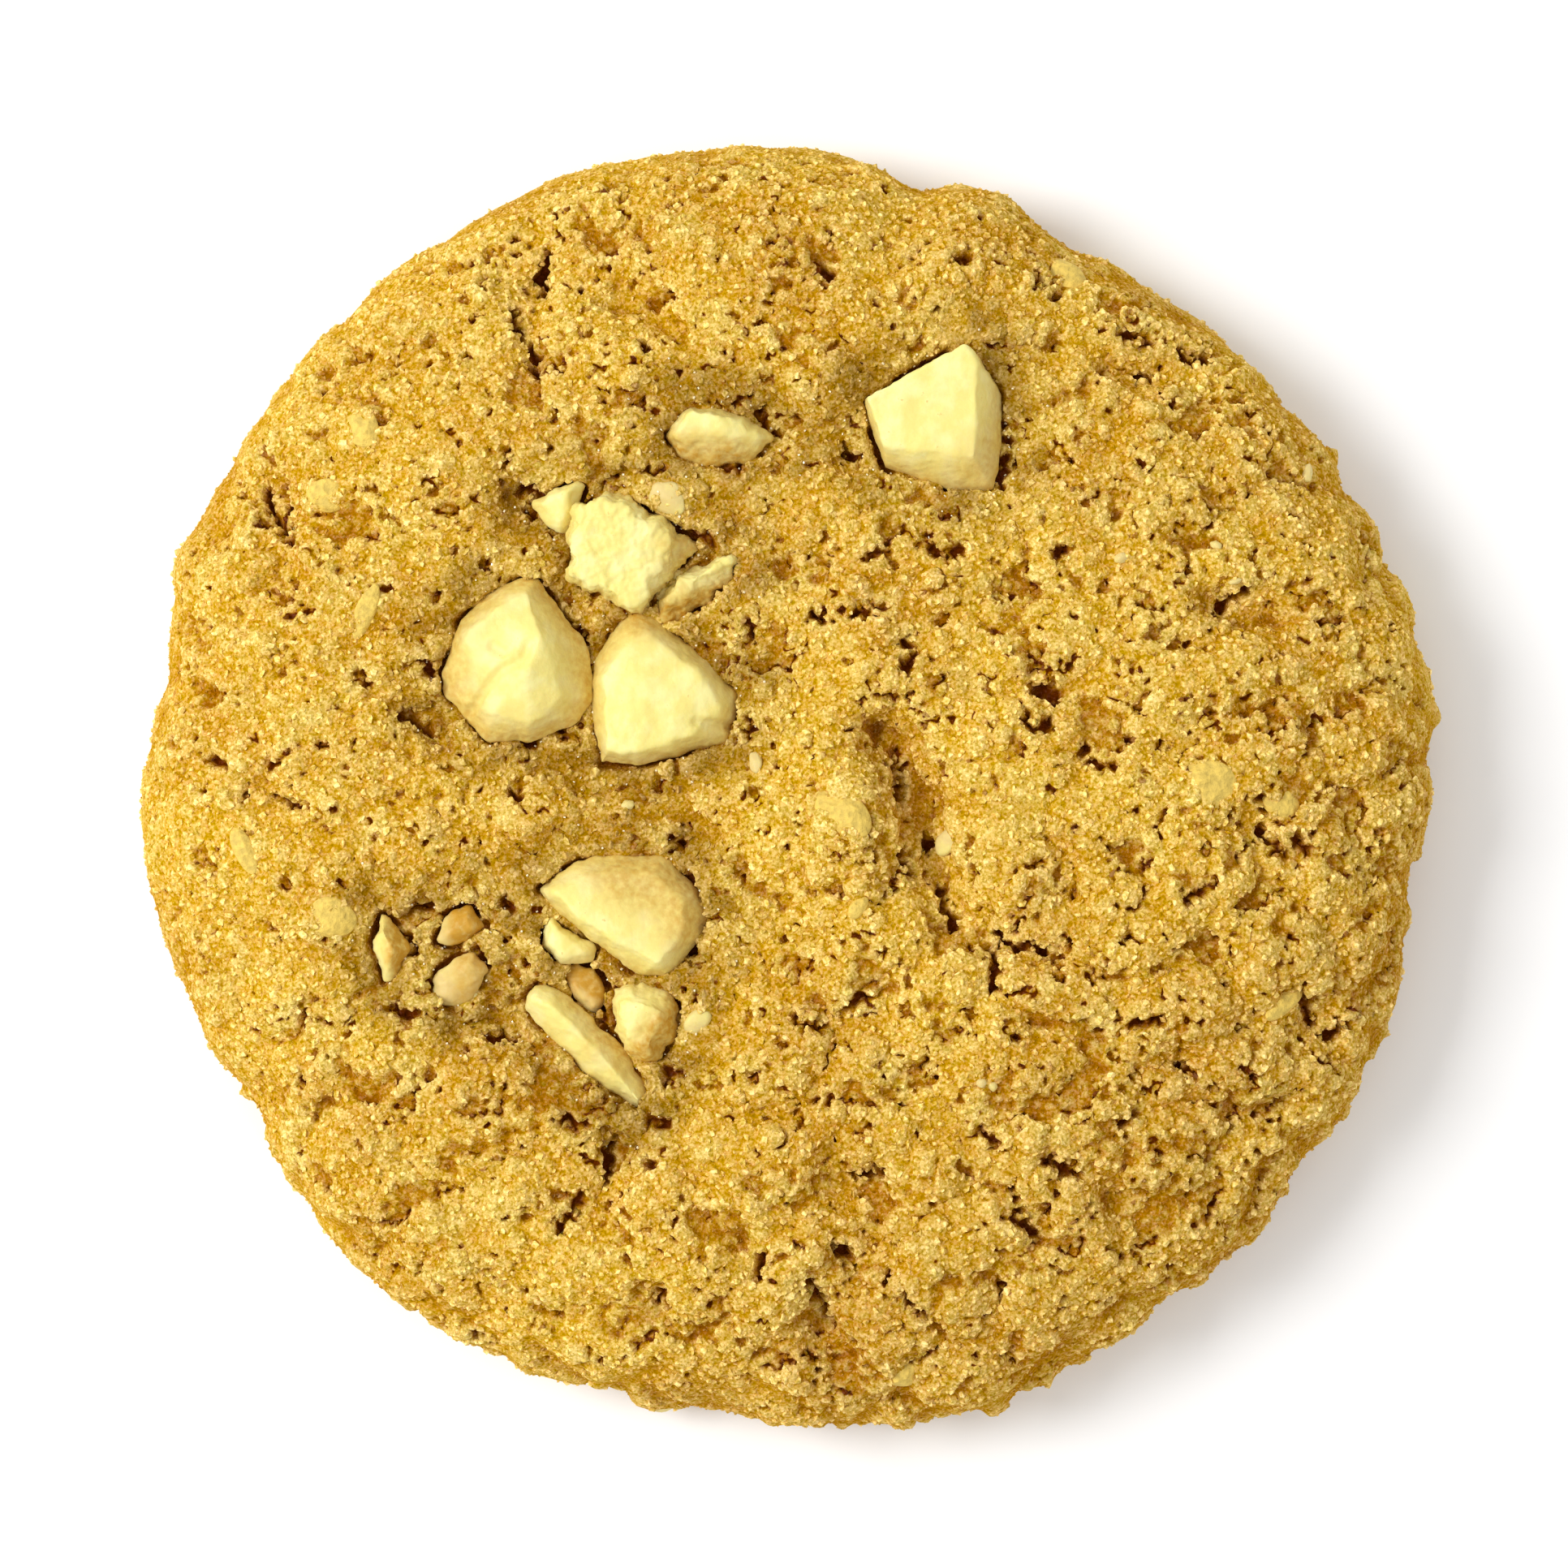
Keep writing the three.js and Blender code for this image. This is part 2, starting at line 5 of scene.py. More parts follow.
import bpy
from bpy.props import FloatProperty, FloatVectorProperty, IntProperty, PointerProperty
from mathutils import Euler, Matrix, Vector


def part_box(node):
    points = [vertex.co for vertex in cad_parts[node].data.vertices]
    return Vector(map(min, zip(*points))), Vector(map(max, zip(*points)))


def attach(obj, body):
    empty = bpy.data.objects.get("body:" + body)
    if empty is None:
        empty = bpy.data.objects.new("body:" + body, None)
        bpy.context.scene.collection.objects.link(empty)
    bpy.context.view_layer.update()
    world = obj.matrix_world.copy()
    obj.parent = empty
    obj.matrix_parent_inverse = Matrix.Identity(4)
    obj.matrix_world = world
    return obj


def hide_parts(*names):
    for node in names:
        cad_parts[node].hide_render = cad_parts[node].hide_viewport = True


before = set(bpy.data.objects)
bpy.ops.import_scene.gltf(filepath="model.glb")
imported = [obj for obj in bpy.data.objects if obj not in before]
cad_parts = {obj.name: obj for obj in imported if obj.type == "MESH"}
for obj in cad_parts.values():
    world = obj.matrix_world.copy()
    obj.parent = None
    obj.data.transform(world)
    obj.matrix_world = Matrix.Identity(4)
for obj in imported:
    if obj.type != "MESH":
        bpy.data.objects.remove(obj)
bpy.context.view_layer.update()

bl_info = {
    "name": "Oatmeal Cookie",
    "version": (1, 0, 0),
    "blender": (4, 5, 0),
    "location": "3D View > Sidebar > Cookie",
    "description": "Dresses the solid model of an oatmeal cookie with its crust, nuts, oats and crumbs",
    "category": "Object",
}

MM = 0.001
BODY = "root"

# Seen from above: the photo's frame is this wide where the rim is widest, from this far above it
PHOTO_WIDTH = 96.6 * MM
PHOTO_DISTANCE = 300 * MM
RIM_HEIGHT = 5 * MM

# The key light stands up on the left, a square of this width
KEY_PLACE = (-0.38, 0.08, 0.42)
KEY_WIDTH = 0.25
FLOOR_WIDTH = 4

# Points of a solid that lie closer than this are one point
MERGE_DISTANCE = 0.002 * MM

# The crust is felt for from this height, at this many points round a place
RAY_HEIGHT = 0.1
RING_POINTS = 8

# Dough fills the gap round a nut: this much wider than the nut's solid, up to this far below the crust,
# which is felt for at this many points, this much further out than the solid
PLUG_WIDENING = 1.18
PLUG_DROP = 0.1 * MM
PLUG_POINTS = 12
PLUG_REACH = 1.25

# Faces of a finished nut, and the flattest edge of its solid that counts as chopped
NUT_FACE = 0.12 * MM
CHOPPED_EDGE = math.radians(4)

# The nuts: where the oven browned each one, in degrees from +X, how far in that starts, how strongly,
# how rough the nut is, and how much wider than its solid
NUTS = {
    "nut_wedge": (-50, 0.35, 0.5, 0.6, 1.03),
    "nut_nub": (-100, -0.2, 0.8, 1.0, 1.06),
    "nut_crumbly": (-10, 0.2, 0.6, 2.2, 1.06),
    "nut_point": (160, 0.5, 0.3, 1.0, 1.25),
    "nut_curl": (-70, -0.4, 0.8, 1.8, 1.25),
    "nut_dome": (190, 0.5, 0.8, 0.7, 1.06),
    "nut_cheek": (75, 0.3, 0.8, 0.7, 1.05),
    "nut_slab": (50, -0.2, 0.6, 0.8, 1.04),
    "nut_chip": (-60, 0.4, 0.4, 1.0, 1.12),
    "nut_stick": (40, -0.1, 0.8, 0.8, 1.04),
    "nut_chunk": (-40, -0.3, 0.8, 1.5, 1.1),
    "nut_tucked": (60, -0.5, 0.9, 1.0, 1.12),
    "nut_splinter": (10, -0.4, 1.0, 1.0, 1.1),
    "nut_flint": (0, -0.8, 1.0, 1.0, 1.12),
    "nut_oval": (0, -0.6, 0.6, 1.0, 1.12),
}
BROWNED_NUTS = ("nut_tucked", "nut_flint", "nut_oval")

# Grooves in the tops of nuts, as lines of places in millimetres
GROOVES = [
    [(-18.8, 4.4), (-17.8, 5.8), (-16.8, 6.8), (-15.6, 7.4), (-15.2, 8.4)], [(-17.4, 8.2), (-16.8, 7.9)],
    [(-5.2, 3.7), (-3.0, 3.4)],
]

# Wide hollows in the crust, as lines of places in millimetres
HOLLOWS = [
    [(6.4, 2.6), (8.1, -0.7), (8.5, -4.6)], [(-10.5, 30.8), (-9.0, 29.1), (-7.3, 27.6)],
    [(-17.4, 30.6), (-15.4, 30.0)], [(-1.4, 22.2), (-0.5, 21.0)], [(-15.4, 17.4), (-15.7, 15.6)],
    [(-13.2, 11.4), (-11.8, 9.8)], [(-2.0, 4.8), (-2.4, 2.0)], [(-13.0, 1.6), (-8.6, 0.2), (-4.2, -2.6)],
    [(-20.8, -10.0), (-17.8, -12.5), (-15.9, -14.9)], [(-6.0, -12.4), (-5.4, -15.9)],
    [(14.9, 6.6), (16.6, 5.6)], [(2.0, -31.2), (2.4, -35.6)], [(-31.0, 17.2), (-29.8, 11.0)],
    [(-22.9, 4.2), (-20.6, 3.0)], [(26.1, 10.7), (29.4, 11.0)], [(28.4, -2.6), (30.8, -5.4)],
    [(32.0, -14.0), (33.0, -15.6)], [(2.6, -22.6), (4.4, -26.4)],
]

# Narrow dark cracks and holes in the crust, as lines of places in millimetres
CRACKS = [
    [(-14.3, 32.2), (-14.7, 30.8), (-14.4, 29.7)], [(-16.4, 28.5), (-15.9, 26.9)],
    [(-15.3, 26.2), (-14.9, 24.8)], [(-15.6, 17.9), (-14.8, 17.3), (-15.4, 16.2)],
    [(-13.6, 3.3), (-12.7, 2.8)], [(-12.6, 9.4), (-12.2, 8.6)], [(-5.6, 15.1), (-4.2, 14.6)],
    [(-2.0, 4.2), (-2.1, 3.0)], [(-1.4, 22.4), (-0.6, 21.2)], [(13.2, 21.6), (13.4, 19.6), (13.0, 17.9)],
    [(5.2, 13.8), (6.2, 14.0)], [(9.0, 14.1), (9.8, 13.6), (10.6, 14.0)], [(16.2, 13.4), (17.0, 14.2)],
    [(1.6, 10.0), (2.6, 9.8)], [(4.2, 10.2), (5.9, 10.5)], [(7.2, 8.5), (7.5, 7.8), (7.2, 6.8)],
    [(14.3, 3.8), (15.1, 3.2), (15.9, 3.6)], [(18.2, 2.0), (18.8, 1.2), (19.7, 0.9)],
    [(15.4, 5.6), (16.4, 5.2)], [(6.9, 0.9), (7.0, -0.9)], [(7.2, -4.2), (7.5, -5.4)],
    [(8.5, -3.4), (9.0, -3.8)], [(9.4, -6.4), (9.5, -7.6), (10.4, -8.5)],
    [(12.8, -9.0), (13.9, -10.0), (14.9, -9.7), (16.0, -10.4)], [(12.6, -10.3), (12.7, -12.2)],
    [(3.8, -13.4), (4.6, -12.7), (5.4, -12.3)], [(0.5, -14.2), (2.1, -14.6)],
    [(-7.0, -17.2), (-6.1, -17.5)], [(-17.8, -15.4), (-16.4, -15.5)], [(-13.4, -20.2), (-12.2, -20.5)],
    [(-10.4, -21.6), (-10.8, -23.6)], [(-12.2, -24.8), (-13.4, -26.8)], [(-23.2, -13.8), (-22.0, -13.9)],
    [(-30.4, -0.8), (-29.0, -1.3)], [(-34.7, 1.5), (-33.8, 1.2)], [(-22.9, 4.2), (-21.2, 3.2)],
    [(-31.4, 17.4), (-30.6, 15.9)], [(-30.0, 15.4), (-29.8, 14.6)], [(3.7, 20.0), (4.6, 19.5)],
    [(24.2, 26.0), (25.6, 25.8)], [(20.6, 27.2), (21.8, 26.8)], [(21.4, 24.5), (22.0, 24.4)],
    [(10.4, 31.6), (11.2, 31.8)], [(2.4, 30.8), (2.8, 30.5)], [(26.0, 10.4), (27.6, 11.6)],
    [(28.6, -0.8), (29.2, -1.6)], [(30.8, -3.2), (31.6, -4.0)], [(28.6, -2.8), (30.2, -4.4)],
    [(24.0, -6.8), (25.0, -6.4)], [(23.6, -17.0), (24.6, -17.4)], [(31.2, -12.9), (32.0, -14.4)],
    [(32.8, -15.2), (34.0, -14.6)], [(20.8, -14.4), (22.4, -14.2)], [(4.6, -23.4), (5.8, -23.2)],
    [(3.4, -27.8), (4.0, -28.8)], [(1.8, -30.4), (2.8, -32.4)], [(1.6, -34.4), (2.0, -35.4)],
    [(7.2, -30.6), (8.4, -31.8)], [(11.8, -20.8), (12.8, -21.4)], [(14.0, -26.0), (15.2, -27.4)],
    [(15.6, -22.6), (17.4, -23.4)], [(20.0, -20.8), (20.8, -19.9)], [(-1.6, -29.6), (-1.2, -28.6)],
    [(-7.6, -31.0), (-7.0, -30.4)], [(-15.6, 2.5), (-15.0, 2.3)], [(-25.4, 6.6), (-25.0, 6.2)],
    [(-16.3, -0.6), (-15.9, -1.0)], [(-3.2, 19.0), (-2.6, 19.3)], [(-7.9, 18.8), (-7.4, 19.0)],
    [(-2.0, 9.6), (-1.9, 9.0)], [(-21.7, 7.4), (-21.0, 6.9)], [(-16.8, -6.9), (-16.4, -7.4)],
    [(-22.2, -7.4), (-21.2, -7.7)], [(-18.4, -10.0), (-18.0, -11.0)], [(-11.2, -13.6), (-11.0, -14.6)],
    [(-6.6, -3.3), (-5.9, -3.7)], [(-5.7, -5.4), (-5.4, -6.2)], [(-5.8, -9.8), (-5.4, -10.4)],
    [(-7.9, -20.2), (-7.0, -20.5)], [(-8.0, -22.9), (-7.8, -23.2)], [(-22.6, -9.2), (-22.2, -10.2)],
]

# Oat flakes and pale lumps on the crust: place, length, width and thickness in millimetres, turn in degrees
FLAKES = [
    (-25.4, 21.6, 3.0, 2.2, 0.9, 70), (-27.6, 17.4, 2.8, 2.2, 0.9, 20), (-25.2, 10.2, 4.4, 1.4, 0.9, 38),
    (-32.6, -4.0, 3.4, 1.6, 0.8, 22), (-27.3, -8.1, 3.4, 2.6, 1.0, 0), (25.1, -0.4, 4.6, 4.0, 1.6, 60),
    (29.9, -1.0, 2.6, 2.2, 1.2, 10), (17.4, 30.6, 3.6, 2.4, 1.0, -10), (3.4, -1.7, 4.4, 3.0, 1.2, 65),
    (30.2, -13.2, 3.6, 1.4, 0.9, 105), (7.3, -36.0, 2.4, 2.0, 1.4, 0), (4.4, -7.4, 1.8, 1.0, 0.7, 35),
]

# Crumbs of nut: place, length, width and thickness in millimetres, turn in degrees
NUT_BITS = [
    (-7.0, 17.2, 2.8, 2.3, 1.0, 50), (20.2, 13.6, 1.1, 0.8, 0.9, 60), (-9.4, -1.3, 1.0, 0.7, 0.7, 20),
    (-1.7, 1.3, 1.8, 0.9, 0.7, 40), (9.9, -3.4, 3.0, 1.7, 0.9, -65), (11.8, -17.9, 0.8, 0.7, 0.8, 0),
    (12.5, -18.1, 0.7, 0.7, 0.8, 30), (31.8, 18.9, 1.4, 0.7, 0.7, -35), (26.0, 14.3, 1.0, 0.6, 0.7, -45),
    (27.1, 12.2, 1.0, 0.4, 0.6, 5), (-5.2, -14.2, 2.2, 1.6, 0.8, 60), (-18.9, -12.6, 1.2, 0.8, 0.7, -30),
    (-7.3, 11.7, 1.6, 1.1, 1.2, 40), (-7.7, 10.5, 1.1, 0.8, 1.0, 10), (-6.5, 12.6, 0.9, 0.8, 1.0, 70),
]

# The nut sliver that sticks out low at the rim: its place, its length, width and thickness, how it leans
# and how it is turned, in degrees
SLIVER_PLACE = (-8 * MM, -37.9 * MM, 3 * MM)
SLIVER_SIZE = (3.9 * MM, 2.7 * MM, 1.2 * MM)
SLIVER_UP = (-0.1, -0.4, 1)
SLIVER_TURN = 8


def linear(code):
    """An sRGB hex colour as linear red, green and blue"""
    shares = [int(code[k : k + 2], 16) / 255 for k in (1, 3, 5)]
    return tuple(s / 12.92 if s <= 0.04045 else ((s + 0.055) / 1.055) ** 2.4 for s in shares)


def colour(name, description, code):
    """A colour that the user may change"""
    return FloatVectorProperty(
        name=name, description=description, default=linear(code), subtype="COLOR", size=3, min=0, max=1
    )


def length(name, description, millimetres):
    """A length that the user may change"""
    return FloatProperty(
        name=name, description=description, default=millimetres * MM, unit="LENGTH", precision=5, min=0
    )


class CookieDough(bpy.types.PropertyGroup):
    face_size: length("Face size", "Width of the faces on the crust before they are thinned", 0.26)
    triangles: IntProperty(name="Triangles", description="Triangles of the finished crust", default=197000)
    plate_width: length("Plate width", "Width of the plates that the crust breaks into", 3.4)
    plate_rise: length("Plate rise", "How far a plate stands above the valleys beside it", 0.5)
    lump_width: length("Lump width", "Width of the lumps that a plate is baked from", 1.0)
    lump_rise: length("Lump rise", "How far a lump stands out of the dough", 0.24)
    clump_width: length("Clump width", "Width of the larger clumps", 2.0)
    clump_rise: length("Clump rise", "How far a clump stands out of the dough", 0.38)
    tuft_width: length("Tuft width", "Width of the tufts that stick out of the rim", 1.7)
    slit_depth: length("Slit depth", "Depth of the gaps along the edges of plates", 0.6)
    torn_width: length("Torn width", "Width of the patches where the crust is torn off", 1.7)
    torn_depth: length("Torn depth", "Depth of a torn patch", 0.35)
    crevice_width: length("Crevice width", "Width of the crumb between crevices", 1.5)
    crevice_depth: length("Crevice depth", "Depth of a crevice", 0.5)
    hollow_width: length("Hollow width", "Half the width of a hollow", 2.0)
    hollow_depth: length("Hollow depth", "Depth of a hollow", 0.5)
    crack_width: length("Crack width", "Half the width of a crack", 0.42)
    crack_depth: length("Crack depth", "Depth of a crack", 0.9)
    rim_swell: length("Rim swell", "How far the side of the cookie swells out", 0.12)
    grain_width: length("Grain width", "Width of the grains that the crust is baked from", 0.5)
    grain_height: length("Grain height", "How far a grain stands out", 0.16)
    golden: colour("Golden", "Crust where it is lightly baked", "#EEC64A")
    toasted: colour("Toasted", "Crust where it is baked darker", "#CE9C26")
    straw: colour("Straw", "Crust where oats lie close under it", "#EDD670")
    # Tip: a painted highlight on bumps and on crumbs that stand out
    tip: colour("Tip", "Crumb that stands out", "#F8E08C")
    # Hollow: the browner dough between the plates, in torn patches and on the steep sides; also painted
    # shade in valleys, recesses, gaps, between crumbs, in cracks, slits and crevices, and on the lower
    # right side
    hollow: colour("Hollow", "Crumb between the plates", "#9E6002")
    damp: colour("Damp", "Crumb that the nuts shelter", "#744E12")
    # Pit: painted shade in the pits, cracks, slits, crevices, deep recesses and torn patches, and the
    # random dark crumb in the floors between plates
    pit_shade_and_dark_crumb: colour("Pit", "Depth of the pits and cracks", "#5C2403")
    seed: IntProperty(name="Seed", description="Where the lumps fall", default=3)


class CookieNuts(bpy.types.PropertyGroup):
    edge_radius: length("Edge radius", "Rounding of a chopped edge", 0.1)
    wave_width: length("Wave width", "Width of the waves on a broken face", 2.0)
    wave_height: length("Wave height", "Height of the waves on a broken face", 0.28)
    notch_width: length("Notch width", "Width of the notches in the outline of a nut", 1.4)
    notch_depth: length("Notch depth", "Depth of the notches in a nut of middling roughness", 0.17)
    grit_width: length("Grit width", "Width of the grains of a broken face", 0.3)
    grit_height: length("Grit height", "Height of the grains of a broken face", 0.08)
    groove_width: length("Groove width", "Half the width of a groove", 0.45)
    groove_depth: length("Groove depth", "Depth of a groove", 0.25)
    flesh: colour("Flesh", "Inside of the nut", "#F0E084")
    blanched: colour("Blanched", "Paler patches of the nut", "#F8F0A8")
    # Toasted: also the colour of the painted shade low on a nut's sides
    toasted: colour("Toasted", "Nut where the oven browned it", "#C8962E")
    bit: colour("Bit", "Crumb of nut that dough sticks to", "#DFC680")


class CookieCrumbs(bpy.types.PropertyGroup):
    coarse: length("Coarse", "Width of a coarse grain", 0.5)
    middling: length("Middling", "Width of a middling grain", 0.38)
    fine: length("Fine", "Width of a fine grain", 0.3)
    grit: length("Grit", "Width of a grain of grit", 0.23)
    dust: length("Dust", "Width of a grain of dust", 0.18)
    seed: IntProperty(name="Seed", description="Where the grains fall", default=7)


class CookieFlakes(bpy.types.PropertyGroup):
    rise: length("Rise", "How far the top of a flake stands above the crust", 0.3)
    bit_rise: length("Bit rise", "How far the top of a bit of nut stands above the crust", 0.38)
    bran: colour("Bran", "Rolled oat flake", "#E4C258")


class CookieSugar(bpy.types.PropertyGroup):
    grain: length("Grain", "Width of a sugar crystal", 0.11)
    clear: colour("Clear", "Sugar crystal", "#FFF2CC")


class CookieStage(bpy.types.PropertyGroup):
    floor: colour("Floor", "Plain pale floor", "#FFFFFF")
    key_power: FloatProperty(name="Key power", description="Light from the left", default=2.2, unit="POWER")
    sky: FloatProperty(name="Sky", description="Strength of the even light from all around", default=0.75)


def set_inputs(tree, node, inputs):
    """Give a node its values, and links from other nodes or from an output of theirs.
    From and To take both ends of a range."""
    values = {}
    for key, value in inputs.items():
        if key in ("From", "To"):
            values[key + " Min"], values[key + " Max"] = value
        else:
            values[key] = value
    for key, value in values.items():
        open_sockets = [socket for socket in node.inputs if socket.enabled and socket.name == key]
        socket = node.inputs[key] if isinstance(key, int) else open_sockets[0]
        if isinstance(value, bpy.types.Node):
            value = out(value)
        if isinstance(value, bpy.types.NodeSocket):
            tree.links.new(value, socket)
        else:
            socket.default_value = value


def add_node(tree, kind, inputs=None, **settings):
    """A new node with its settings, its values and its links"""
    node = tree.nodes.new(kind)
    for name, value in settings.items():
        setattr(node, name, value)
    set_inputs(tree, node, inputs or {})
    return node


def out(node, name=0):
    """An output of a node that is in use"""
    if isinstance(name, int):
        return [socket for socket in node.outputs if socket.enabled][name]
    return node.outputs[name]


def new_shape_tree(name):
    """A node tree that takes a shape in and gives a shape out, with its two end nodes"""
    tree = bpy.data.node_groups.new(name, "GeometryNodeTree")
    tree.interface.new_socket(name="Shape", in_out="INPUT", socket_type="NodeSocketGeometry")
    tree.interface.new_socket(name="Shape", in_out="OUTPUT", socket_type="NodeSocketGeometry")
    return tree, tree.nodes.new("NodeGroupInput"), tree.nodes.new("NodeGroupOutput")


def marked(tree, shape, shares, data_type="FLOAT"):
    """A shape that carries shares or places on its points, under their names"""
    for name, share in shares.items():
        shape = add_node(
            tree, "GeometryNodeStoreNamedAttribute", {"Geometry": shape, "Name": name, "Value": share},
            data_type=data_type, domain="POINT",
        )
    return shape


def joint_share(tree, operation, *shares):
    """Several shares as one: their product where all have to hold, the largest where one is enough"""
    joint = shares[0]
    for share in shares[1:]:
        joint = add_node(tree, "ShaderNodeMath", {0: joint, 1: share}, operation=operation)
    return joint


def rest_of(tree, share):
    """What is left of a share"""
    return add_node(tree, "ShaderNodeMath", {0: 1.0, 1: share}, operation="SUBTRACT")


def new_finish(name):
    """A new material, with its node tree and its shader"""
    material = bpy.data.materials.new(name)
    material.use_nodes = True
    return material, material.node_tree, material.node_tree.nodes["Principled BSDF"]


def select_only(piece):
    """Make one object the only selected one, and the active one"""
    bpy.ops.object.select_all(action="DESELECT")
    piece.select_set(True)
    bpy.context.view_layer.objects.active = piece


def apply_modifier(piece, kind, **settings):
    """Add a modifier and apply it at once"""
    select_only(piece)
    modifier = piece.modifiers.new(kind.title(), kind)
    for name, value in settings.items():
        setattr(modifier, name, value)
    bpy.ops.object.modifier_apply(modifier=modifier.name)


def copy_of_node(node, name):
    """A new piece with the shape of a solid, its loose triangles joined up"""
    piece = bpy.data.objects.new(name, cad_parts[node].data.copy())
    bpy.context.scene.collection.objects.link(piece)
    select_only(piece)
    bpy.ops.object.mode_set(mode="EDIT")
    bpy.ops.mesh.select_all(action="SELECT")
    bpy.ops.mesh.remove_doubles(threshold=MERGE_DISTANCE)
    bpy.ops.object.mode_set(mode="OBJECT")
    return piece


def join(target, others):
    """Join pieces into one"""
    select_only(target)
    for other in others:
        other.select_set(True)
    bpy.ops.object.join()


def finish_piece(piece, material):
    """Give a piece its finish and fix it to the cookie"""
    piece.data.materials.clear()
    piece.data.materials.append(material)
    select_only(piece)
    bpy.ops.object.shade_smooth()
    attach(piece, BODY)


def crust_below(surface, x, y, reach=0.0):
    """Place and direction of a surface under a point, as the mean of a ring of points round it"""
    places = []
    normals = []
    for k in range(RING_POINTS):
        around = Euler((0, 0, k * math.tau / RING_POINTS)).to_matrix() @ Vector((reach, 0, 0))
        hit, place, normal, _ = surface.ray_cast(Vector((x, y, RAY_HEIGHT)) + around, Vector((0, 0, -1)))
        if not hit:
            raise RuntimeError("no crust below this point")
        places.append(place)
        normals.append(normal)
    return sum(places, Vector()) / len(places), sum(normals, Vector()).normalized()


def nut_plug(node):
    """Dough that fills the gap round a nut, up to a little below the crust"""
    low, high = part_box(node)
    centre = (low + high) / 2
    reach = (high - low) / 2
    heights = []
    for k in range(PLUG_POINTS):
        turn = k * math.tau / PLUG_POINTS
        around = Vector((math.cos(turn) * reach.x, math.sin(turn) * reach.y, 0)) * PLUG_REACH
        place, _ = crust_below(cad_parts["dough"], centre.x + around.x, centre.y + around.y)
        heights.append(place.z)
    level = sorted(heights)[len(heights) // 3] - PLUG_DROP
    plug = copy_of_node(node, "plug")
    bpy.ops.object.mode_set(mode="EDIT")
    bpy.ops.mesh.select_all(action="SELECT")
    bpy.ops.mesh.bisect(plane_co=(0, 0, level), plane_no=(0, 0, 1), clear_outer=True, use_fill=True)
    bpy.ops.mesh.select_all(action="SELECT")
    bpy.ops.transform.resize(value=(PLUG_WIDENING, PLUG_WIDENING, 1), center_override=centre)
    bpy.ops.object.mode_set(mode="OBJECT")
    return plug


def line_helper(name, lines):
    """A helper of loose edges, flat on the floor, that follows lines of places"""
    points = []
    edges = []
    for line in lines:
        for k, (x, y) in enumerate(line):
            if k > 0:
                edges.append((len(points) - 1, len(points)))
            points.append((x * MM, y * MM, 0))
    mesh = bpy.data.meshes.new(name)
    mesh.from_pydata(points, edges, [])
    helper = bpy.data.objects.new(name, mesh)
    bpy.context.scene.collection.objects.link(helper)
    return helper


def along_lines(tree, place, helper, width, ragged):
    """1 above the lines of a helper, falling to 0 at a distance that is ragged by a share of the width"""
    lines = add_node(tree, "GeometryNodeObjectInfo", {"Object": helper})
    flat = add_node(tree, "ShaderNodeVectorMath", {0: place, 1: (1, 1, 0)}, operation="MULTIPLY")
    near = add_node(
        tree, "GeometryNodeProximity", {"Geometry": out(lines, "Geometry"), "Sample Position": flat},
        target_element="EDGES",
    )
    uneven = add_node(tree, "ShaderNodeTexNoise", {"Vector": place, "Scale": 0.9 / width, "Detail": 3.0})
    sway = ragged * width
    shift = add_node(
        tree, "ShaderNodeMapRange", {"Value": uneven, "From": (0.25, 0.75), "To": (-sway, sway)}
    )
    distance = add_node(tree, "ShaderNodeMath", {0: out(near, "Distance"), 1: shift}, operation="ADD")
    return add_node(
        tree, "ShaderNodeMapRange", {"Value": distance, "From": (0.3 * width, width), "To": (1.0, 0.0)}
    )


def near_nuts(tree):
    """1 beside the nuts, which shelter the dough round them, falling to 0 further off"""
    nuts = add_node(tree, "GeometryNodeJoinGeometry")
    for node in NUTS:
        solid = add_node(tree, "GeometryNodeObjectInfo", {"Object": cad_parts[node]})
        set_inputs(tree, nuts, {0: out(solid, "Geometry")})
    off_nuts = add_node(tree, "GeometryNodeProximity", {"Geometry": nuts}, target_element="FACES")
    return add_node(
        tree, "ShaderNodeMapRange",
        {"Value": out(off_nuts, "Distance"), "From Max": 4 * MM, "To": (1.0, 0.0)},
    )


def dry_share(tree, damp):
    """1 away from the nuts, falling to 0 right beside them"""
    return add_node(tree, "ShaderNodeMapRange", {"Value": damp, "From": (0.85, 0.97), "To": (1.0, 0.0)})


def even_normal(tree):
    """Direction that the crust faces, evened out over its small bumps"""
    normal = add_node(tree, "GeometryNodeInputNormal")
    return add_node(
        tree, "GeometryNodeBlurAttribute", {"Value": normal, "Iterations": 12}, data_type="FLOAT_VECTOR"
    )


def steep_sides(tree):
    """1 on the steep sides of the dough, where a smooth skin bakes, and 0 on its top"""
    up = add_node(tree, "ShaderNodeSeparateXYZ", {0: even_normal(tree)})
    return add_node(
        tree, "ShaderNodeMapRange", {"Value": out(up, "Z"), "From": (0.4, 0.75), "To": (1.0, 0.0)}
    )


def crust_level(tree, settings, place):
    """Rough level of the crust from 0 to 1, which is evener towards the upper left"""
    uneven = add_node(
        tree, "ShaderNodeTexNoise",
        {"Vector": place, "Scale": 1 / settings.plate_width, "Detail": 3.5, "Roughness": 0.6},
    )
    side = add_node(tree, "ShaderNodeVectorMath", {0: place, 1: (0.5, -0.6, 0)}, operation="DOT_PRODUCT")
    smoother = add_node(
        tree, "ShaderNodeMapRange", {"Value": side, "From": (-14 * MM, 20 * MM), "To": (0.05, 0.0)}
    )
    return add_node(tree, "ShaderNodeMath", {0: uneven, 1: smoother}, operation="ADD")


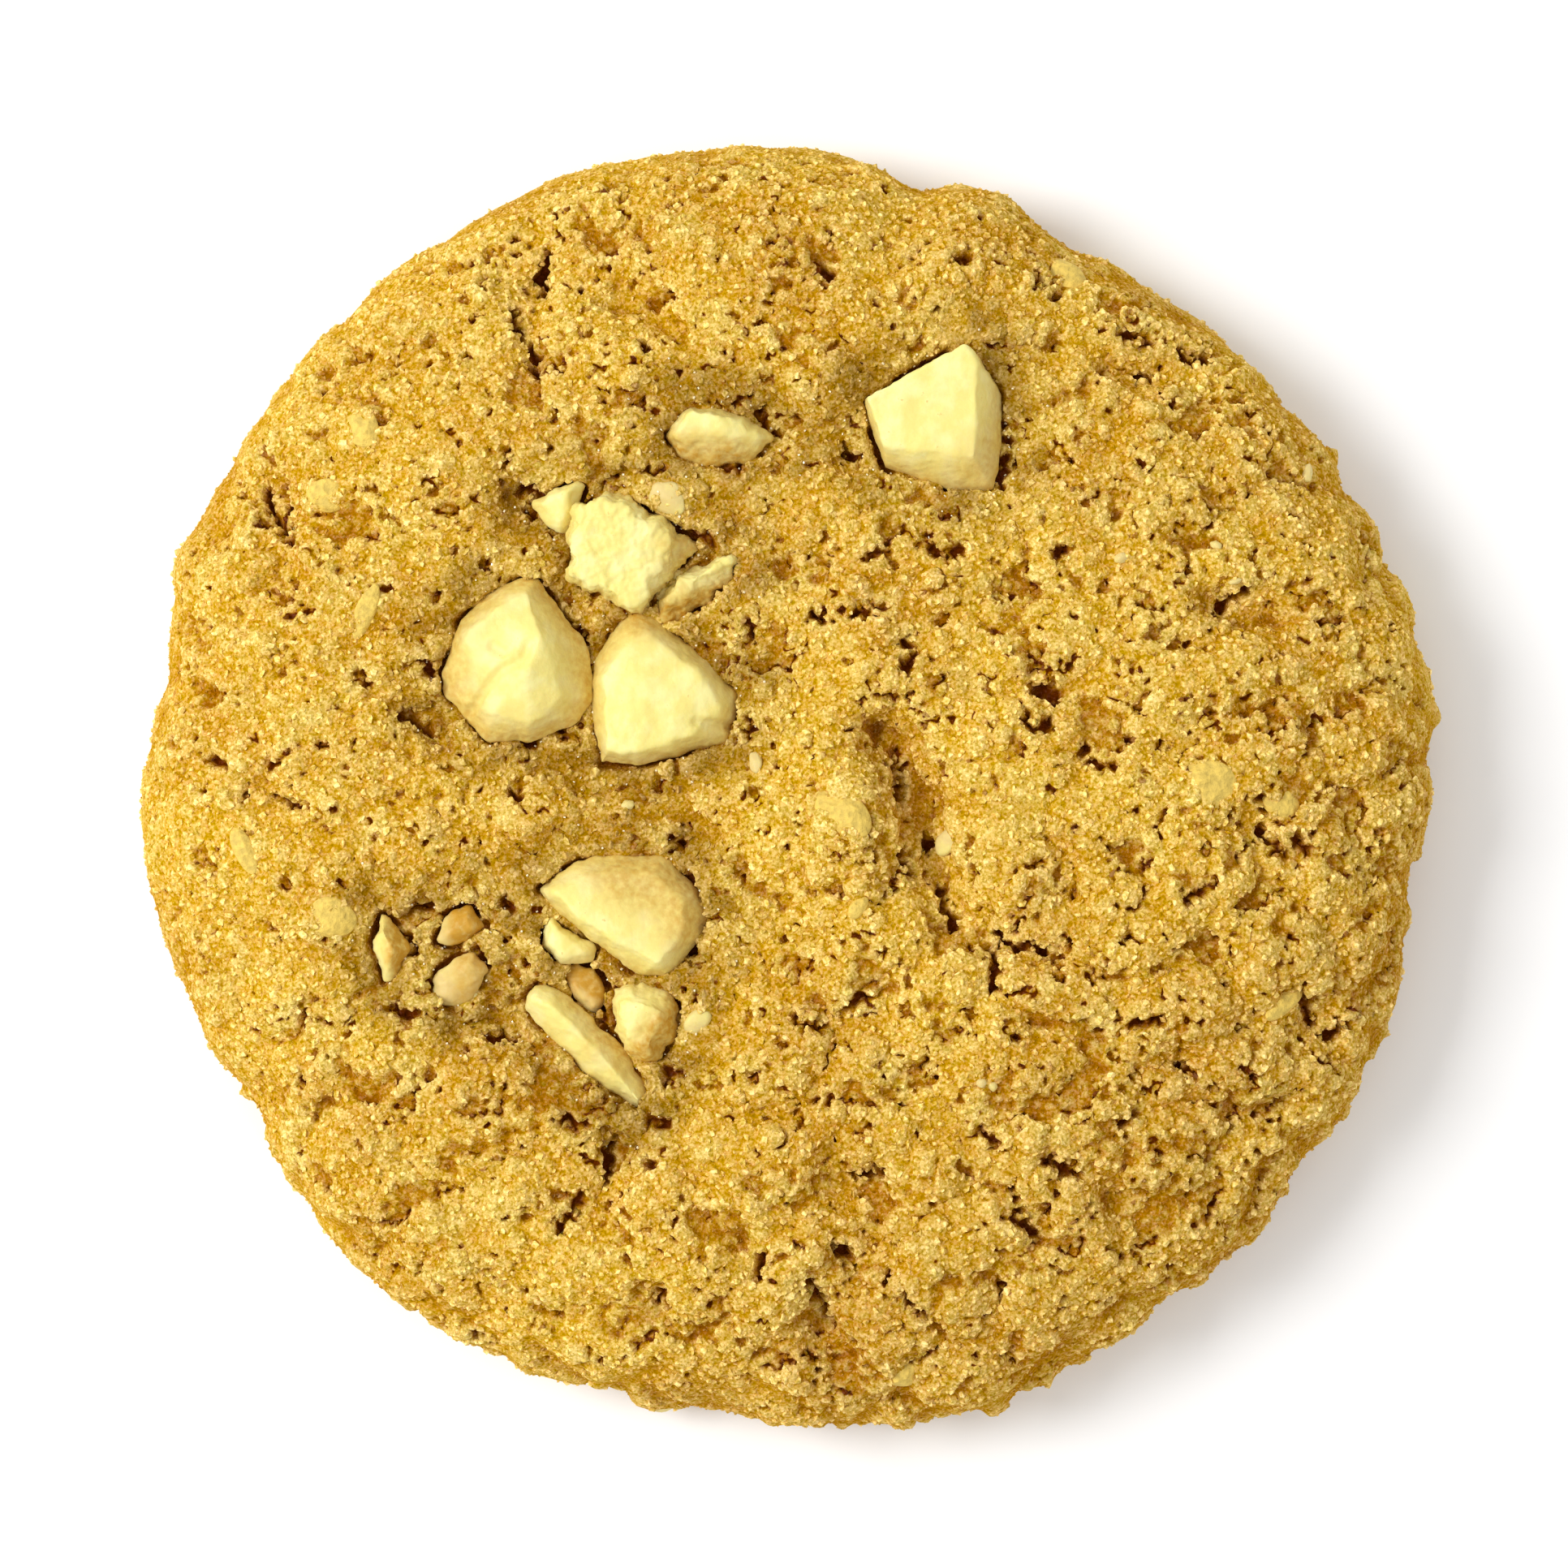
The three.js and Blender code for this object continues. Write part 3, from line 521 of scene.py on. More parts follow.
def crust_marks(tree, settings, place, skin):
    """How the crust breaks up off the skin: shares of plate, of slit along one side of it, of torn patch"""
    rough = rest_of(tree, skin)
    level = crust_level(tree, settings, place)
    high = add_node(
        tree, "ShaderNodeMapRange", {"Value": level, "From": (0.37, 0.49)}, interpolation_type="SMOOTHSTEP"
    )
    plate = joint_share(tree, "MAXIMUM", high, skin)

    above_edge = add_node(tree, "ShaderNodeMath", {0: level, 1: 0.427}, operation="SUBTRACT")
    off_edge = add_node(tree, "ShaderNodeMath", {0: above_edge}, operation="ABSOLUTE")
    edge = add_node(
        tree, "ShaderNodeMapRange", {"Value": off_edge, "From": (0.006, 0.028), "To": (1.0, 0.0)}
    )
    beside = add_node(
        tree, "ShaderNodeVectorMath", {0: place, 1: (0.3 * MM, -0.4 * MM, 0)}, operation="ADD"
    )
    slope = add_node(
        tree, "ShaderNodeMath", {0: crust_level(tree, settings, out(beside)), 1: level},
        operation="SUBTRACT",
    )
    faces_light = add_node(tree, "ShaderNodeMapRange", {"Value": slope, "From": (0.015, 0.04)})
    broken = add_node(tree, "ShaderNodeTexNoise", {"Vector": place, "Scale": 1 / (2.2 * MM), "Detail": 1.0})
    open_edge = add_node(tree, "ShaderNodeMapRange", {"Value": broken, "From": (0.48, 0.55)})
    slit = joint_share(tree, "MULTIPLY", faces_light, open_edge, edge, rough)

    patches = add_node(
        tree, "ShaderNodeTexNoise",
        {"Vector": place, "Scale": 1 / settings.torn_width, "Detail": 5.0, "Roughness": 0.65},
    )
    whole_torn = add_node(tree, "ShaderNodeMapRange", {"Value": patches, "From": (0.62, 0.65)})
    torn = joint_share(tree, "MULTIPLY", whole_torn, rough)
    return plate, slit, torn


def crevices(tree, settings, place, skin):
    """Share of jagged crevice, in short broken lines off the skin, fewer towards the lower left"""
    ridge = add_node(
        tree, "ShaderNodeTexNoise", {"Vector": place, "Scale": 1 / settings.crevice_width, "Detail": 2.0}
    )
    above = add_node(tree, "ShaderNodeMath", {0: ridge, 1: 0.5}, operation="SUBTRACT")
    off_line = add_node(tree, "ShaderNodeMath", {0: above}, operation="ABSOLUTE")
    line = add_node(
        tree, "ShaderNodeMapRange", {"Value": off_line, "From": (0.015, 0.045), "To": (1.0, 0.0)}
    )
    broken = add_node(tree, "ShaderNodeTexNoise", {"Vector": place, "Scale": 1 / (1.1 * MM), "Detail": 1.0})
    side = add_node(tree, "ShaderNodeVectorMath", {0: place, 1: (0.8, 0.4, 0)}, operation="DOT_PRODUCT")
    fewer = add_node(
        tree, "ShaderNodeMapRange", {"Value": side, "From": (-25 * MM, 12 * MM), "To": (0.05, 0.0)}
    )
    left = add_node(tree, "ShaderNodeMath", {0: broken, 1: fewer}, operation="SUBTRACT")
    open_line = add_node(tree, "ShaderNodeMapRange", {"Value": left, "From": (0.61, 0.66)})
    rough = add_node(tree, "ShaderNodeMapRange", {"Value": skin, "To": (1.0, 0.0)})
    return joint_share(tree, "MULTIPLY", line, open_line, rough)


def depth_below(tree, place, reach):
    """How far a point lies below the crust around it, averaged over a number of steps"""
    around = add_node(
        tree, "GeometryNodeBlurAttribute", {"Value": place, "Iterations": reach}, data_type="FLOAT_VECTOR"
    )
    below = add_node(tree, "ShaderNodeVectorMath", {0: around, 1: place}, operation="SUBTRACT")
    return add_node(tree, "ShaderNodeVectorMath", {0: below, 1: even_normal(tree)}, operation="DOT_PRODUCT")


def crust_cover(settings, hollows):
    """Where lumps cover the dough: on plates, but not in hollows and clefts, and in tufts round the rim"""
    tree, start, end = new_shape_tree("Crust cover")
    place = add_node(tree, "GeometryNodeInputPosition")
    skin = steep_sides(tree)
    top = rest_of(tree, skin)
    plate, _, torn = crust_marks(tree, settings, place, skin)
    whole = rest_of(tree, torn)
    below = depth_below(tree, place, reach=40)
    cleft = add_node(
        tree, "ShaderNodeMapRange", {"Value": below, "From": (0.2 * MM, 0.6 * MM), "To": (1.0, 0.0)}
    )
    hollow = along_lines(tree, place, hollows, settings.hollow_width, ragged=0.7)
    level = rest_of(tree, hollow)
    dry = dry_share(tree, near_nuts(tree))
    cover = joint_share(tree, "MULTIPLY", plate, whole, cleft, level, dry, top)

    uneven = add_node(tree, "ShaderNodeTexNoise", {"Vector": place, "Scale": 1 / (3 * MM)})
    right = add_node(tree, "ShaderNodeVectorMath", {0: place, 1: (3.0, -1.0, 0)}, operation="DOT_PRODUCT")
    rugged = add_node(tree, "ShaderNodeMath", {0: uneven, 1: right}, operation="ADD")
    clumps = add_node(tree, "ShaderNodeMapRange", {"Value": rugged, "From": (0.45, 0.6)})
    clumped = joint_share(tree, "MULTIPLY", clumps, cover)
    side = add_node(tree, "ShaderNodeVectorMath", {0: place, 1: (2.2, -3.0, 0)}, operation="DOT_PRODUCT")
    ragged_side = add_node(tree, "ShaderNodeMath", {0: uneven, 1: side}, operation="ADD")
    tufted = add_node(tree, "ShaderNodeMapRange", {"Value": ragged_side, "From": (0.6, 0.68)})
    rim = joint_share(tree, "MULTIPLY", skin, tufted)

    shape = marked(tree, start, {"cover": cover, "clumped": clumped, "rim": rim})
    set_inputs(tree, end, {0: shape})
    return tree


def crust_relief(settings, hollows, cracks):
    """Plates, hollows, cracks, crevices and grain, fading towards the foot, with shares kept for colour"""
    tree, start, end = new_shape_tree("Crust relief")
    place = add_node(tree, "GeometryNodeInputPosition")
    normal = add_node(tree, "GeometryNodeInputNormal")
    skin = steep_sides(tree)
    top = rest_of(tree, skin)
    plate, slit, torn = crust_marks(tree, settings, place, skin)
    hollow = along_lines(tree, place, hollows, settings.hollow_width, ragged=0.7)
    crack = along_lines(tree, place, cracks, settings.crack_width, ragged=1.3)

    damp = near_nuts(tree)
    broken = add_node(tree, "ShaderNodeTexNoise", {"Vector": place, "Scale": 1 / (2.4 * MM)})
    loose = add_node(tree, "ShaderNodeMapRange", {"Value": broken, "From": (0.5, 0.57)})
    beside = add_node(tree, "ShaderNodeMapRange", {"Value": damp, "From": (0.83, 0.94), "To": (0.0, 0.8)})
    open_crack = joint_share(tree, "MAXIMUM", crack, joint_share(tree, "MULTIPLY", beside, loose))
    dry_plate = joint_share(tree, "MULTIPLY", top, dry_share(tree, damp), plate)

    grain_cells = add_node(
        tree, "ShaderNodeTexVoronoi", {"Vector": place, "Scale": 1 / settings.grain_width}
    )
    coarse = add_node(
        tree, "ShaderNodeMapRange",
        {"Value": plate, "To": (2 * settings.grain_height, settings.grain_height)},
    )
    grain = add_node(
        tree, "ShaderNodeMapRange",
        {"Value": out(grain_cells, "Distance"), "From Max": 0.8, "To": (coarse, 0.0)},
    )
    lift = add_node(tree, "ShaderNodeMath", {0: grain, 1: top}, operation="MULTIPLY")
    for share, rise in (
        (skin, settings.rim_swell),
        (dry_plate, settings.plate_rise),
        (hollow, -settings.hollow_depth),
        (open_crack, -settings.crack_depth),
        (slit, -settings.slit_depth),
        (torn, -settings.torn_depth),
        (crevices(tree, settings, place, skin), -settings.crevice_depth),
    ):
        lift = add_node(tree, "ShaderNodeMath", {0: share, 1: rise, 2: lift}, operation="MULTIPLY_ADD")
    deepest = add_node(tree, "ShaderNodeMath", {0: lift, 1: -settings.crack_depth}, operation="MAXIMUM")
    height = add_node(tree, "ShaderNodeSeparateXYZ", {0: place})
    above_foot = add_node(
        tree, "ShaderNodeMapRange", {"Value": out(height, "Z"), "From": (0.4 * MM, 2.5 * MM)}
    )
    faded = add_node(tree, "ShaderNodeMath", {0: deepest, 1: above_foot}, operation="MULTIPLY")
    offset = add_node(tree, "ShaderNodeVectorMath", {0: normal, "Scale": faded}, operation="SCALE")

    shape = marked(tree, start, {"crack": open_crack, "damp": damp, "skin": skin})
    bedded = marked(tree, shape, {"bed": place}, "FLOAT_VECTOR")
    moved = add_node(tree, "GeometryNodeSetPosition", {"Geometry": bedded, "Offset": offset})
    set_inputs(tree, end, {0: moved})
    return tree


def crust_depths(settings):
    """How far each point lies below the crust around it, at four reaches, and where crumbs stick"""
    tree, start, end = new_shape_tree("Crust depths")
    place = add_node(tree, "GeometryNodeInputPosition")
    depths = {}
    # Depths kept for the finish: it paints shade in valleys, recesses and gaps, and a highlight on the
    # points that stand out
    for name, reach, shallow, deep in (
        ("valley", 150, 0.15 * MM, 1.0 * MM),
        ("recess", 16, 0.02 * MM, 0.3 * MM),
        ("gap", 3, 0.0, 0.12 * MM),
        # how far a point stands above the crust round it, for a painted highlight
        ("tip", 3, 0.0, -0.1 * MM),
    ):
        depth = depth_below(tree, place, reach)
        depths[name] = add_node(tree, "ShaderNodeMapRange", {"Value": depth, "From": (shallow, deep)})
    shape = marked(tree, start, depths)

    bed = add_node(tree, "GeometryNodeInputNamedAttribute", {"Name": "bed"}, data_type="FLOAT_VECTOR")
    skin, crack, damp, recess = [
        add_node(tree, "GeometryNodeInputNamedAttribute", {"Name": name}, data_type="FLOAT")
        for name in ("skin", "crack", "damp", "recess")
    ]
    plate, _, torn = crust_marks(tree, settings, bed, skin)
    bare = joint_share(tree, "MAXIMUM", crack, crevices(tree, settings, bed, skin), torn)
    sound = rest_of(tree, bare)
    dry_plate = joint_share(tree, "MULTIPLY", plate, dry_share(tree, damp))
    crest = add_node(tree, "ShaderNodeMapRange", {"Value": recess, "From": (0.1, 0.5), "To": (1.0, 0.15)})
    top = add_node(tree, "ShaderNodeMapRange", {"Value": skin, "To": (1.0, 0.3)})
    grit = joint_share(tree, "MULTIPLY", sound, top)
    cover = joint_share(tree, "MULTIPLY", grit, dry_plate, crest)
    shape = marked(tree, shape, {"cover": cover, "grit": grit})
    set_inputs(tree, end, {0: shape})
    return tree


def baked_dough(settings, name, bump_height):
    """Baked oat dough, dry and grainy: golden plates with darker brown crumb between them, a painted
    highlight on what stands out, painted shade in valleys, recesses, gaps, pits, cracks and between crumbs
    and on the lower right side
    """
    material, tree, shader = new_finish(name)
    place = out(add_node(tree, "ShaderNodeTexCoord"), "Object")
    bed = out(add_node(tree, "ShaderNodeAttribute", attribute_name="bed"), "Vector")
    skin = out(add_node(tree, "ShaderNodeAttribute", attribute_name="skin"), "Fac")
    plate, slit, torn = crust_marks(tree, settings, bed, skin)
    bare = rest_of(tree, plate)
    browning = add_node(tree, "ShaderNodeTexNoise", {"Vector": place, "Scale": 1 / (9 * MM), "Detail": 5.0})
    baked = add_node(tree, "ShaderNodeMapRange", {"Value": browning, "From": (0.36, 0.66)})
    patches = add_node(
        tree, "ShaderNodeTexNoise", {"Vector": place, "Scale": 1 / (2.6 * MM), "Detail": 2.0}
    )
    loose = add_node(tree, "ShaderNodeMapRange", {"Value": skin, "To": (1.0, 0.4)})
    oaty = add_node(tree, "ShaderNodeMapRange", {"Value": patches, "From": (0.5, 0.68), "To Max": loose})
    crumb = add_node(tree, "ShaderNodeTexNoise", {"Vector": place, "Scale": 1 / (0.6 * MM), "Detail": 2.0})
    dark_crumb = add_node(tree, "ShaderNodeMapRange", {"Value": crumb, "From": (0.48, 0.6)})
    bare_dark = joint_share(tree, "MULTIPLY", dark_crumb, bare)
    depths = {}
    for attribute in ("valley", "damp", "recess", "gap", "tip", "crack", "cover", "lift"):
        depths[attribute] = out(add_node(tree, "ShaderNodeAttribute", attribute_name=attribute), "Fac")
    # Painted highlight on the part of a crumb that stands out, and painted shade low between the crumbs
    top = add_node(tree, "ShaderNodeMapRange", {"Value": depths["lift"], "From Max": 0.12 * MM})
    low = rest_of(tree, top)
    between = joint_share(tree, "MULTIPLY", low, depths["cover"])
    # Painted shade in deep recesses
    deep_recess = add_node(tree, "ShaderNodeMapRange", {"Value": depths["recess"], "From Min": 0.5})
    # Cracks, slits and crevices get painted shade, darkest where deepest
    open_share = joint_share(tree, "MAXIMUM", depths["crack"], slit, crevices(tree, settings, bed, skin))
    deep = add_node(tree, "ShaderNodeMapRange", {"Value": open_share, "From": (0.45, 0.95)})
    wet = add_node(tree, "ShaderNodeMapRange", {"Value": patches, "From": (0.4, 0.6), "To": (1.0, 0.25)})
    sheltered = add_node(tree, "ShaderNodeMapRange", {"Value": depths["damp"], "From Max": 0.5})
    wet_share = joint_share(tree, "MULTIPLY", sheltered, wet)
    # Painted shade: the crust is darkened towards the lower right, the side away from the key light
    right = add_node(tree, "ShaderNodeVectorMath", {0: place, 1: (0.6, -0.75, 0)}, operation="DOT_PRODUCT")
    painted_side_shade = add_node(tree, "ShaderNodeMapRange", {"Value": right, "From": (19 * MM, 27 * MM)})
    shade = (*settings.golden, 1)
    for share, most, tint in (
        (baked, 1.0, settings.toasted),
        (oaty, 0.75, settings.straw),
        (skin, 0.4, settings.hollow),
        # painted shade on the lower right side
        (painted_side_shade, 0.28, settings.hollow),
        (bare, 0.7, settings.hollow),
        (bare_dark, 0.2, settings.pit_shade_and_dark_crumb),
        # painted shade in valleys, recesses and gaps, and between crumbs
        (depths["valley"], 0.5, settings.hollow),
        (depths["recess"], 0.65, settings.hollow),
        (deep_recess, 0.4, settings.pit_shade_and_dark_crumb),
        (depths["gap"], 0.4, settings.hollow),
        (between, 0.45, settings.hollow),
        # painted highlight on points and crumbs that stand out
        (depths["tip"], 0.4, settings.tip),
        (top, 0.35, settings.tip),
        (wet_share, 0.6, settings.damp),
        # torn patches: brown, and darker still as painted shade
        (torn, 0.75, settings.hollow),
        (torn, 0.3, settings.pit_shade_and_dark_crumb),
        # painted shade in cracks, slits and crevices
        (open_share, 0.9, settings.hollow),
        (deep, 0.95, settings.pit_shade_and_dark_crumb),
    ):
        amount = joint_share(tree, "MULTIPLY", share, most)
        shade = add_node(
            tree, "ShaderNodeMix", {"Factor": amount, "A": shade, "B": (*tint, 1)}, data_type="RGBA"
        )
    mottle = add_node(
        tree, "ShaderNodeTexNoise", {"Vector": place, "Scale": 1 / (0.18 * MM), "Detail": 2.0}
    )
    grainy = add_node(
        tree, "ShaderNodeMapRange", {"Value": mottle, "From": (0.32, 0.68), "To": (0.57, 1.17)}
    )
    grains = add_node(tree, "ShaderNodeTexVoronoi", {"Vector": place, "Scale": 1 / (0.26 * MM)})
    grain = add_node(tree, "ShaderNodeSeparateXYZ", {0: out(grains, "Color")})
    grain_tone = add_node(
        tree, "ShaderNodeMath", {0: out(grain, "X"), 1: 0.3, 2: grainy}, operation="MULTIPLY_ADD"
    )
    tone = add_node(tree, "ShaderNodeAttribute", attribute_name="tone")
    value = add_node(
        tree, "ShaderNodeMath", {0: out(tone, "Fac"), 1: 0.2, 2: grain_tone}, operation="MULTIPLY_ADD"
    )
    depth = add_node(tree, "ShaderNodeMapRange", {"Value": value, "From": (0.68, 1.45), "To": (1.15, 0.87)})
    tint = add_node(tree, "ShaderNodeHueSaturation", {"Color": shade, "Value": value, "Saturation": depth})
    bump = add_node(tree, "ShaderNodeBump", {"Height": mottle, "Strength": 0.8, "Distance": bump_height})
    set_inputs(
        tree, shader, {"Base Color": tint, "Normal": bump, "Roughness": 0.8, "Specular IOR Level": 0.0}
    )
    return material


def nut_flesh(flesh, blanched, toasted, name):
    """Chopped nut, blanched and lightly oily: cream with paler patches, toasted where the oven reached, and
    darker low on its sides as painted shade
    """
    material, tree, shader = new_finish(name)
    place = out(add_node(tree, "ShaderNodeTexCoord"), "Object")
    fibre = add_node(tree, "ShaderNodeTexNoise", {"Vector": place, "Scale": 1 / (0.4 * MM), "Detail": 3.0})
    speck = add_node(tree, "ShaderNodeMapRange", {"Value": fibre, "From": (0.7, 0.78), "To Max": 0.5})
    # toast holds the oven's browning and the painted shade low on the nut's sides
    toast = add_node(tree, "ShaderNodeAttribute", attribute_name="toast")
    grain = add_node(tree, "ShaderNodeMapRange", {"Value": fibre, "From": (0.3, 0.65), "To": (0.6, 1.3)})
    grainy_toast_and_shade = add_node(tree, "ShaderNodeMath", {0: out(toast, "Fac"), 1: grain}, operation="MULTIPLY")
    # browning and painted shade as one share
    browned = add_node(
        tree, "ShaderNodeMath", {0: grainy_toast_and_shade, 1: speck}, operation="MAXIMUM", use_clamp=True
    )
    blotch = add_node(tree, "ShaderNodeTexNoise", {"Vector": place, "Scale": 1 / (1.6 * MM), "Detail": 4.0})
    pale = add_node(tree, "ShaderNodeMapRange", {"Value": blotch, "From": (0.45, 0.65), "To Max": 0.7})
    mottled = add_node(
        tree, "ShaderNodeMix", {"Factor": pale, "A": (*flesh, 1), "B": (*blanched, 1)}, data_type="RGBA"
    )
    shade = add_node(
        tree, "ShaderNodeMix", {"Factor": browned, "A": mottled, "B": (*toasted, 1)}, data_type="RGBA"
    )
    bump = add_node(tree, "ShaderNodeBump", {"Height": fibre, "Strength": 0.5, "Distance": 0.1 * MM})
    set_inputs(
        tree, shader,
        {
            "Base Color": shade, "Normal": bump, "Roughness": 0.5, "Specular IOR Level": 0.3,
            "Subsurface Weight": 0.2, "Subsurface Radius": (1.0, 0.7, 0.4), "Subsurface Scale": 0.8 * MM,
        },
    )
    return material


def oat_bran(settings):
    """Rolled oat flake: matt straw colour with fine lengthwise streaks"""
    material, tree, shader = new_finish("rolled oat bran")
    place = out(add_node(tree, "ShaderNodeTexCoord"), "Object")
    streak = add_node(tree, "ShaderNodeTexNoise", {"Vector": place, "Scale": 1 / (0.4 * MM), "Detail": 4.0})
    value = add_node(tree, "ShaderNodeMapRange", {"Value": streak, "From": (0.35, 0.65), "To": (0.8, 1.12)})
    tint = add_node(tree, "ShaderNodeHueSaturation", {"Color": (*settings.bran, 1), "Value": value})
    bump = add_node(tree, "ShaderNodeBump", {"Height": streak, "Strength": 0.8, "Distance": 0.25 * MM})
    set_inputs(tree, shader, {"Base Color": tint, "Normal": bump, "Roughness": 0.7})
    return material


def sugar(settings):
    """Sugar crystal: clear and glossy, so that it glints"""
    material, tree, shader = new_finish("sugar crystal")
    set_inputs(tree, shader, {"Base Color": (*settings.clear, 1), "Roughness": 0.12, "IOR": 1.54})
    return material


def scatter(surface, density, spacing, sizes, rise, seed, cover):
    """Copies of a shape spread over a surface and part sunk, each turned, stretched and given a random
    tone, with the height of their points above the surface kept for painted shade low between them and a
    painted highlight on their tops"""
    tree, start, end = new_shape_tree("Scatter")
    ground = add_node(tree, "GeometryNodeObjectInfo", {"Object": surface})
    place = add_node(tree, "GeometryNodeInputPosition")
    height = out(add_node(tree, "ShaderNodeSeparateXYZ", {0: place}), "Z")
    above_foot = add_node(tree, "ShaderNodeMapRange", {"Value": height, "From": (0.8 * MM, 1.5 * MM)})
    field = add_node(tree, "GeometryNodeInputNamedAttribute", {"Name": cover}, data_type="FLOAT")
    share = joint_share(tree, "MULTIPLY", above_foot, field)
    spots = add_node(
        tree, "GeometryNodeDistributePointsOnFaces",
        {
            "Mesh": out(ground, "Geometry"), "Distance Min": spacing, "Density Max": density,
            "Density Factor": share, "Seed": seed,
        },
        distribute_method="POISSON",
    )
    turn = add_node(
        tree, "FunctionNodeRandomValue", {"Min": (0, 0, 0), "Max": (math.tau,) * 3, "Seed": seed + 1},
        data_type="FLOAT_VECTOR",
    )
    size = add_node(
        tree, "FunctionNodeRandomValue", {"Min": (sizes[0],) * 3, "Max": (sizes[1],) * 3, "Seed": seed + 2},
        data_type="FLOAT_VECTOR",
    )
    shape = marked(tree, spots, {"root": place, "up": out(spots, "Normal")}, "FLOAT_VECTOR")
    step = add_node(
        tree, "ShaderNodeVectorMath", {0: out(spots, "Normal"), "Scale": rise}, operation="SCALE"
    )
    lifted = add_node(tree, "GeometryNodeSetPosition", {"Geometry": shape, "Offset": step})
    copies = add_node(
        tree, "GeometryNodeInstanceOnPoints",
        {"Points": lifted, "Instance": start, "Rotation": turn, "Scale": size},
    )
    chance = add_node(tree, "FunctionNodeRandomValue", {"Seed": seed + 3}, data_type="FLOAT")
    shaded = add_node(
        tree, "GeometryNodeStoreNamedAttribute", {"Geometry": copies, "Name": "tone", "Value": chance},
        data_type="FLOAT", domain="INSTANCE",
    )
    real = add_node(tree, "GeometryNodeRealizeInstances", {"Geometry": shaded})
    root, up = [
        add_node(tree, "GeometryNodeInputNamedAttribute", {"Name": name}, data_type="FLOAT_VECTOR")
        for name in ("root", "up")
    ]
    above = add_node(tree, "ShaderNodeVectorMath", {0: place, 1: root}, operation="SUBTRACT")
    lift = add_node(tree, "ShaderNodeVectorMath", {0: above, 1: up}, operation="DOT_PRODUCT")
    shape = marked(tree, real, {"lift": lift})
    set_inputs(tree, end, {0: shape})
    return tree


class COOKIE_OT_dough(bpy.types.Operator):
    """Make the baked dough with its crust in relief"""

    bl_idname = "cookie.dough"
    bl_label = "Baked dough"

    def execute(self, context):
        settings = context.scene.cookie_dough
        hollows = line_helper("hollows", HOLLOWS)
        cracks = line_helper("cracks", CRACKS)
        dough = copy_of_node("dough", "baked_dough")
        join(dough, [nut_plug(node) for node in NUTS])
        apply_modifier(dough, "REMESH", mode="VOXEL", voxel_size=2 * settings.face_size)
        apply_modifier(dough, "SMOOTH", factor=0.5, iterations=2)
        apply_modifier(dough, "NODES", node_group=crust_cover(settings, hollows))

        added = []
        for width, rise, cover in (
            (settings.lump_width, settings.lump_rise, "cover"),
            (settings.clump_width, settings.clump_rise, "clumped"),
            (settings.tuft_width, 2.4 * settings.lump_rise, "rim"),
        ):
            bpy.ops.object.select_all(action="DESELECT")
            bpy.ops.mesh.primitive_ico_sphere_add(subdivisions=1, radius=width / 2)
            lumps = context.active_object
            bpy.ops.object.mode_set(mode="EDIT")
            bpy.ops.transform.vertex_random(offset=0.15 * width, seed=settings.seed)
            bpy.ops.object.mode_set(mode="OBJECT")
            tree = scatter(
                dough, density=3 / width**2, spacing=0.55 * width, sizes=(0.5, 1.4),
                rise=rise - width / 2, seed=settings.seed, cover=cover,
            )
            apply_modifier(lumps, "NODES", node_group=tree)
            added.append(lumps)
        join(dough, added)
        apply_modifier(dough, "REMESH", mode="VOXEL", voxel_size=settings.face_size)
        apply_modifier(dough, "SMOOTH", factor=0.5, iterations=1)
        apply_modifier(dough, "NODES", node_group=crust_relief(settings, hollows, cracks))
        apply_modifier(dough, "TRIANGULATE")
        apply_modifier(dough, "DECIMATE", ratio=settings.triangles / len(dough.data.polygons))
        apply_modifier(dough, "NODES", node_group=crust_depths(settings))
        for helper in (hollows, cracks):
            bpy.data.objects.remove(helper)
        finish_piece(dough, baked_dough(settings, "baked oat dough", bump_height=0.12 * MM))
        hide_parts("dough")
        return {"FINISHED"}


